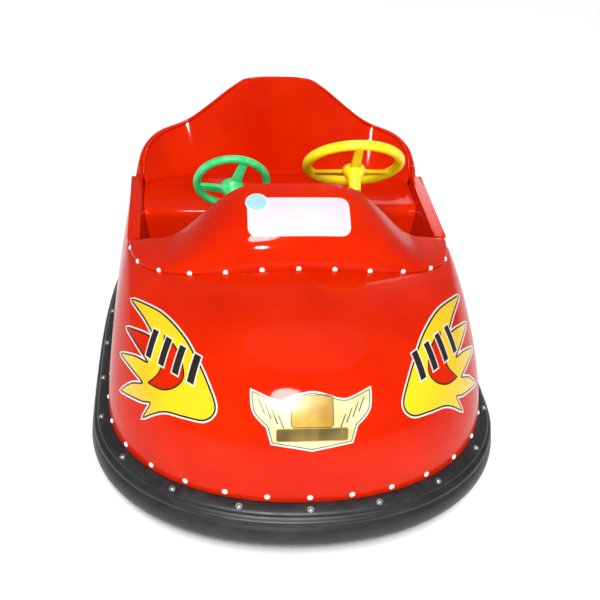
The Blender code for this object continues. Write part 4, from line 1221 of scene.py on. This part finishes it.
def cast_rim(outer, bore, width):
    """A drum with dished sides and a hub, both sides alike, then holes through the dish."""
    lip = width * LIP_SHARE
    rim = cylinder(64, outer, lip)
    dish = (lip - WEB) / 2
    disc_outer, disc_inner = outer - LIP_WIDTH - 3 * MM, bore + HUB_WALL
    for side in (-1, 1):
        edit(rim)
        pick(rim, "FACE", lambda at, facing: facing.z * side > 0.9)
        bpy.ops.mesh.inset(thickness=LIP_WIDTH, depth=0)
        bpy.ops.mesh.inset(thickness=3 * MM, depth=-dish)
        bpy.ops.mesh.inset(thickness=disc_outer - disc_inner, depth=0)
        bpy.ops.mesh.inset(thickness=3 * MM, depth=dish + (width - lip) / 2)
        leave()
    ease_edges(rim, 1.0 * MM, 2, 40)
    middle = (disc_outer + disc_inner) / 2
    holes = []
    for index in range(LIGHTENING_HOLES):
        angle = 2 * math.pi * index / LIGHTENING_HOLES
        holes.append(cylinder(24, 6 * MM, width, (middle * math.cos(angle), middle * math.sin(angle), 0)))
    drill = bake_place(joined(holes))
    modifier(rim, "BOOLEAN", operation="DIFFERENCE", solver="EXACT", object=drill)
    apply_all(rim)
    bpy.data.objects.remove(drill)
    return rim


def road_wheel(label, joint, bore):
    """A tyre and a rim that spin about the joint, in place of the CAD pair."""
    low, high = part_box(label + "_tyre")
    rim_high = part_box(label + "_rim")[1]
    place = Matrix.Translation(joint["pos_m"]) @ Matrix.Rotation(math.pi / 2, 4, "Y")
    radius, width = (high.z - low.z) / 2, high.x - low.x
    outer = rim_high.z - joint["pos_m"][2]
    tyre = bake_place(solid_tyre(radius, outer, width), place)
    finish(tyre, label + "_solid_tyre", TYRE_RUBBER, joint["child"], [label + "_tyre"], 40, "tyre_rubber")
    rim = bake_place(cast_rim(outer, bore, width), place)
    finish(rim, label + "_cast_rim", CAST_ALLOY, joint["child"], [label + "_rim"], 35, "cast_alloy")
    print(label, "tyre", len(tyre.data.polygons), "faces, rim", len(rim.data.polygons))


for label, bore in (("drive", 8 * MM), ("rear_left", 10 * MM), ("rear_right", 10 * MM)):
    road_wheel(label, joints[label + "_spin"], bore)

# %% [markdown]
# The dead axle is held by a hexagon nut on each end, and each battery has two posts and a
# lid. They are small, but they are what one sees when the bench is lifted.

# %% Nuts, battery posts and lids
NUT_ACROSS = 26 * MM
NUT_DEPTH = 8 * MM
POST_RADIUS = 8 * MM
POST_HEIGHT = 12 * MM
LID_HEIGHT = 5 * MM


def hexagon_nut(across, depth, place, turn):
    """A nut with eased corners, turned into place."""
    nut = ease_edges(cylinder(6, across / math.sqrt(3), depth), 0.8 * MM, 2)
    return bake_place(nut, Matrix.Translation(place) @ turn)


def battery_posts(low, high):
    """Two round terminals near the front edge of a battery."""
    posts = []
    for across in (0.22, 0.78):
        place = (low.x + (high.x - low.x) * across, low.y + 30 * MM, high.z + 5.5 * MM)
        posts.append(ease_edges(cylinder(24, POST_RADIUS, POST_HEIGHT, place), 1.2 * MM, 2))
    return bake_place(joined(posts))


def battery_lid(low, high):
    """A raised plate with round edges on top of a battery."""
    bpy.ops.object.select_all(action="DESELECT")
    bpy.ops.mesh.primitive_cube_add(size=1, location=(*((low + high) / 2).xy, high.z + 2 * MM))
    lid = bpy.context.active_object
    lid.scale = (high.x - low.x - 24 * MM, high.y - low.y - 60 * MM, LID_HEIGHT)
    return ease_edges(bake_place(lid), 1.6 * MM, 3)


axle_low, axle_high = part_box("rear_axle")
axle_y, axle_z = joints["rear_left_spin"]["pos_m"][1:3]
crosswise = Matrix.Rotation(math.pi / 2, 4, "Y")
nuts = [hexagon_nut(NUT_ACROSS, NUT_DEPTH, (x, axle_y, axle_z), crosswise)
        for x in (axle_low.x + 3 * MM, axle_high.x - 3 * MM)]
finish(joined(nuts), "rear_axle_nuts", ZINC, "chassis", slot="zinc_steel")

for node in ("battery_left", "battery_right"):
    low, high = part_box(node)
    finish(battery_posts(low, high), node + "_posts", CAST_ALLOY, "chassis", slot="cast_alloy")
    finish(battery_lid(low, high), node + "_lid", BATTERY_CASE, "chassis", slot="battery_case")
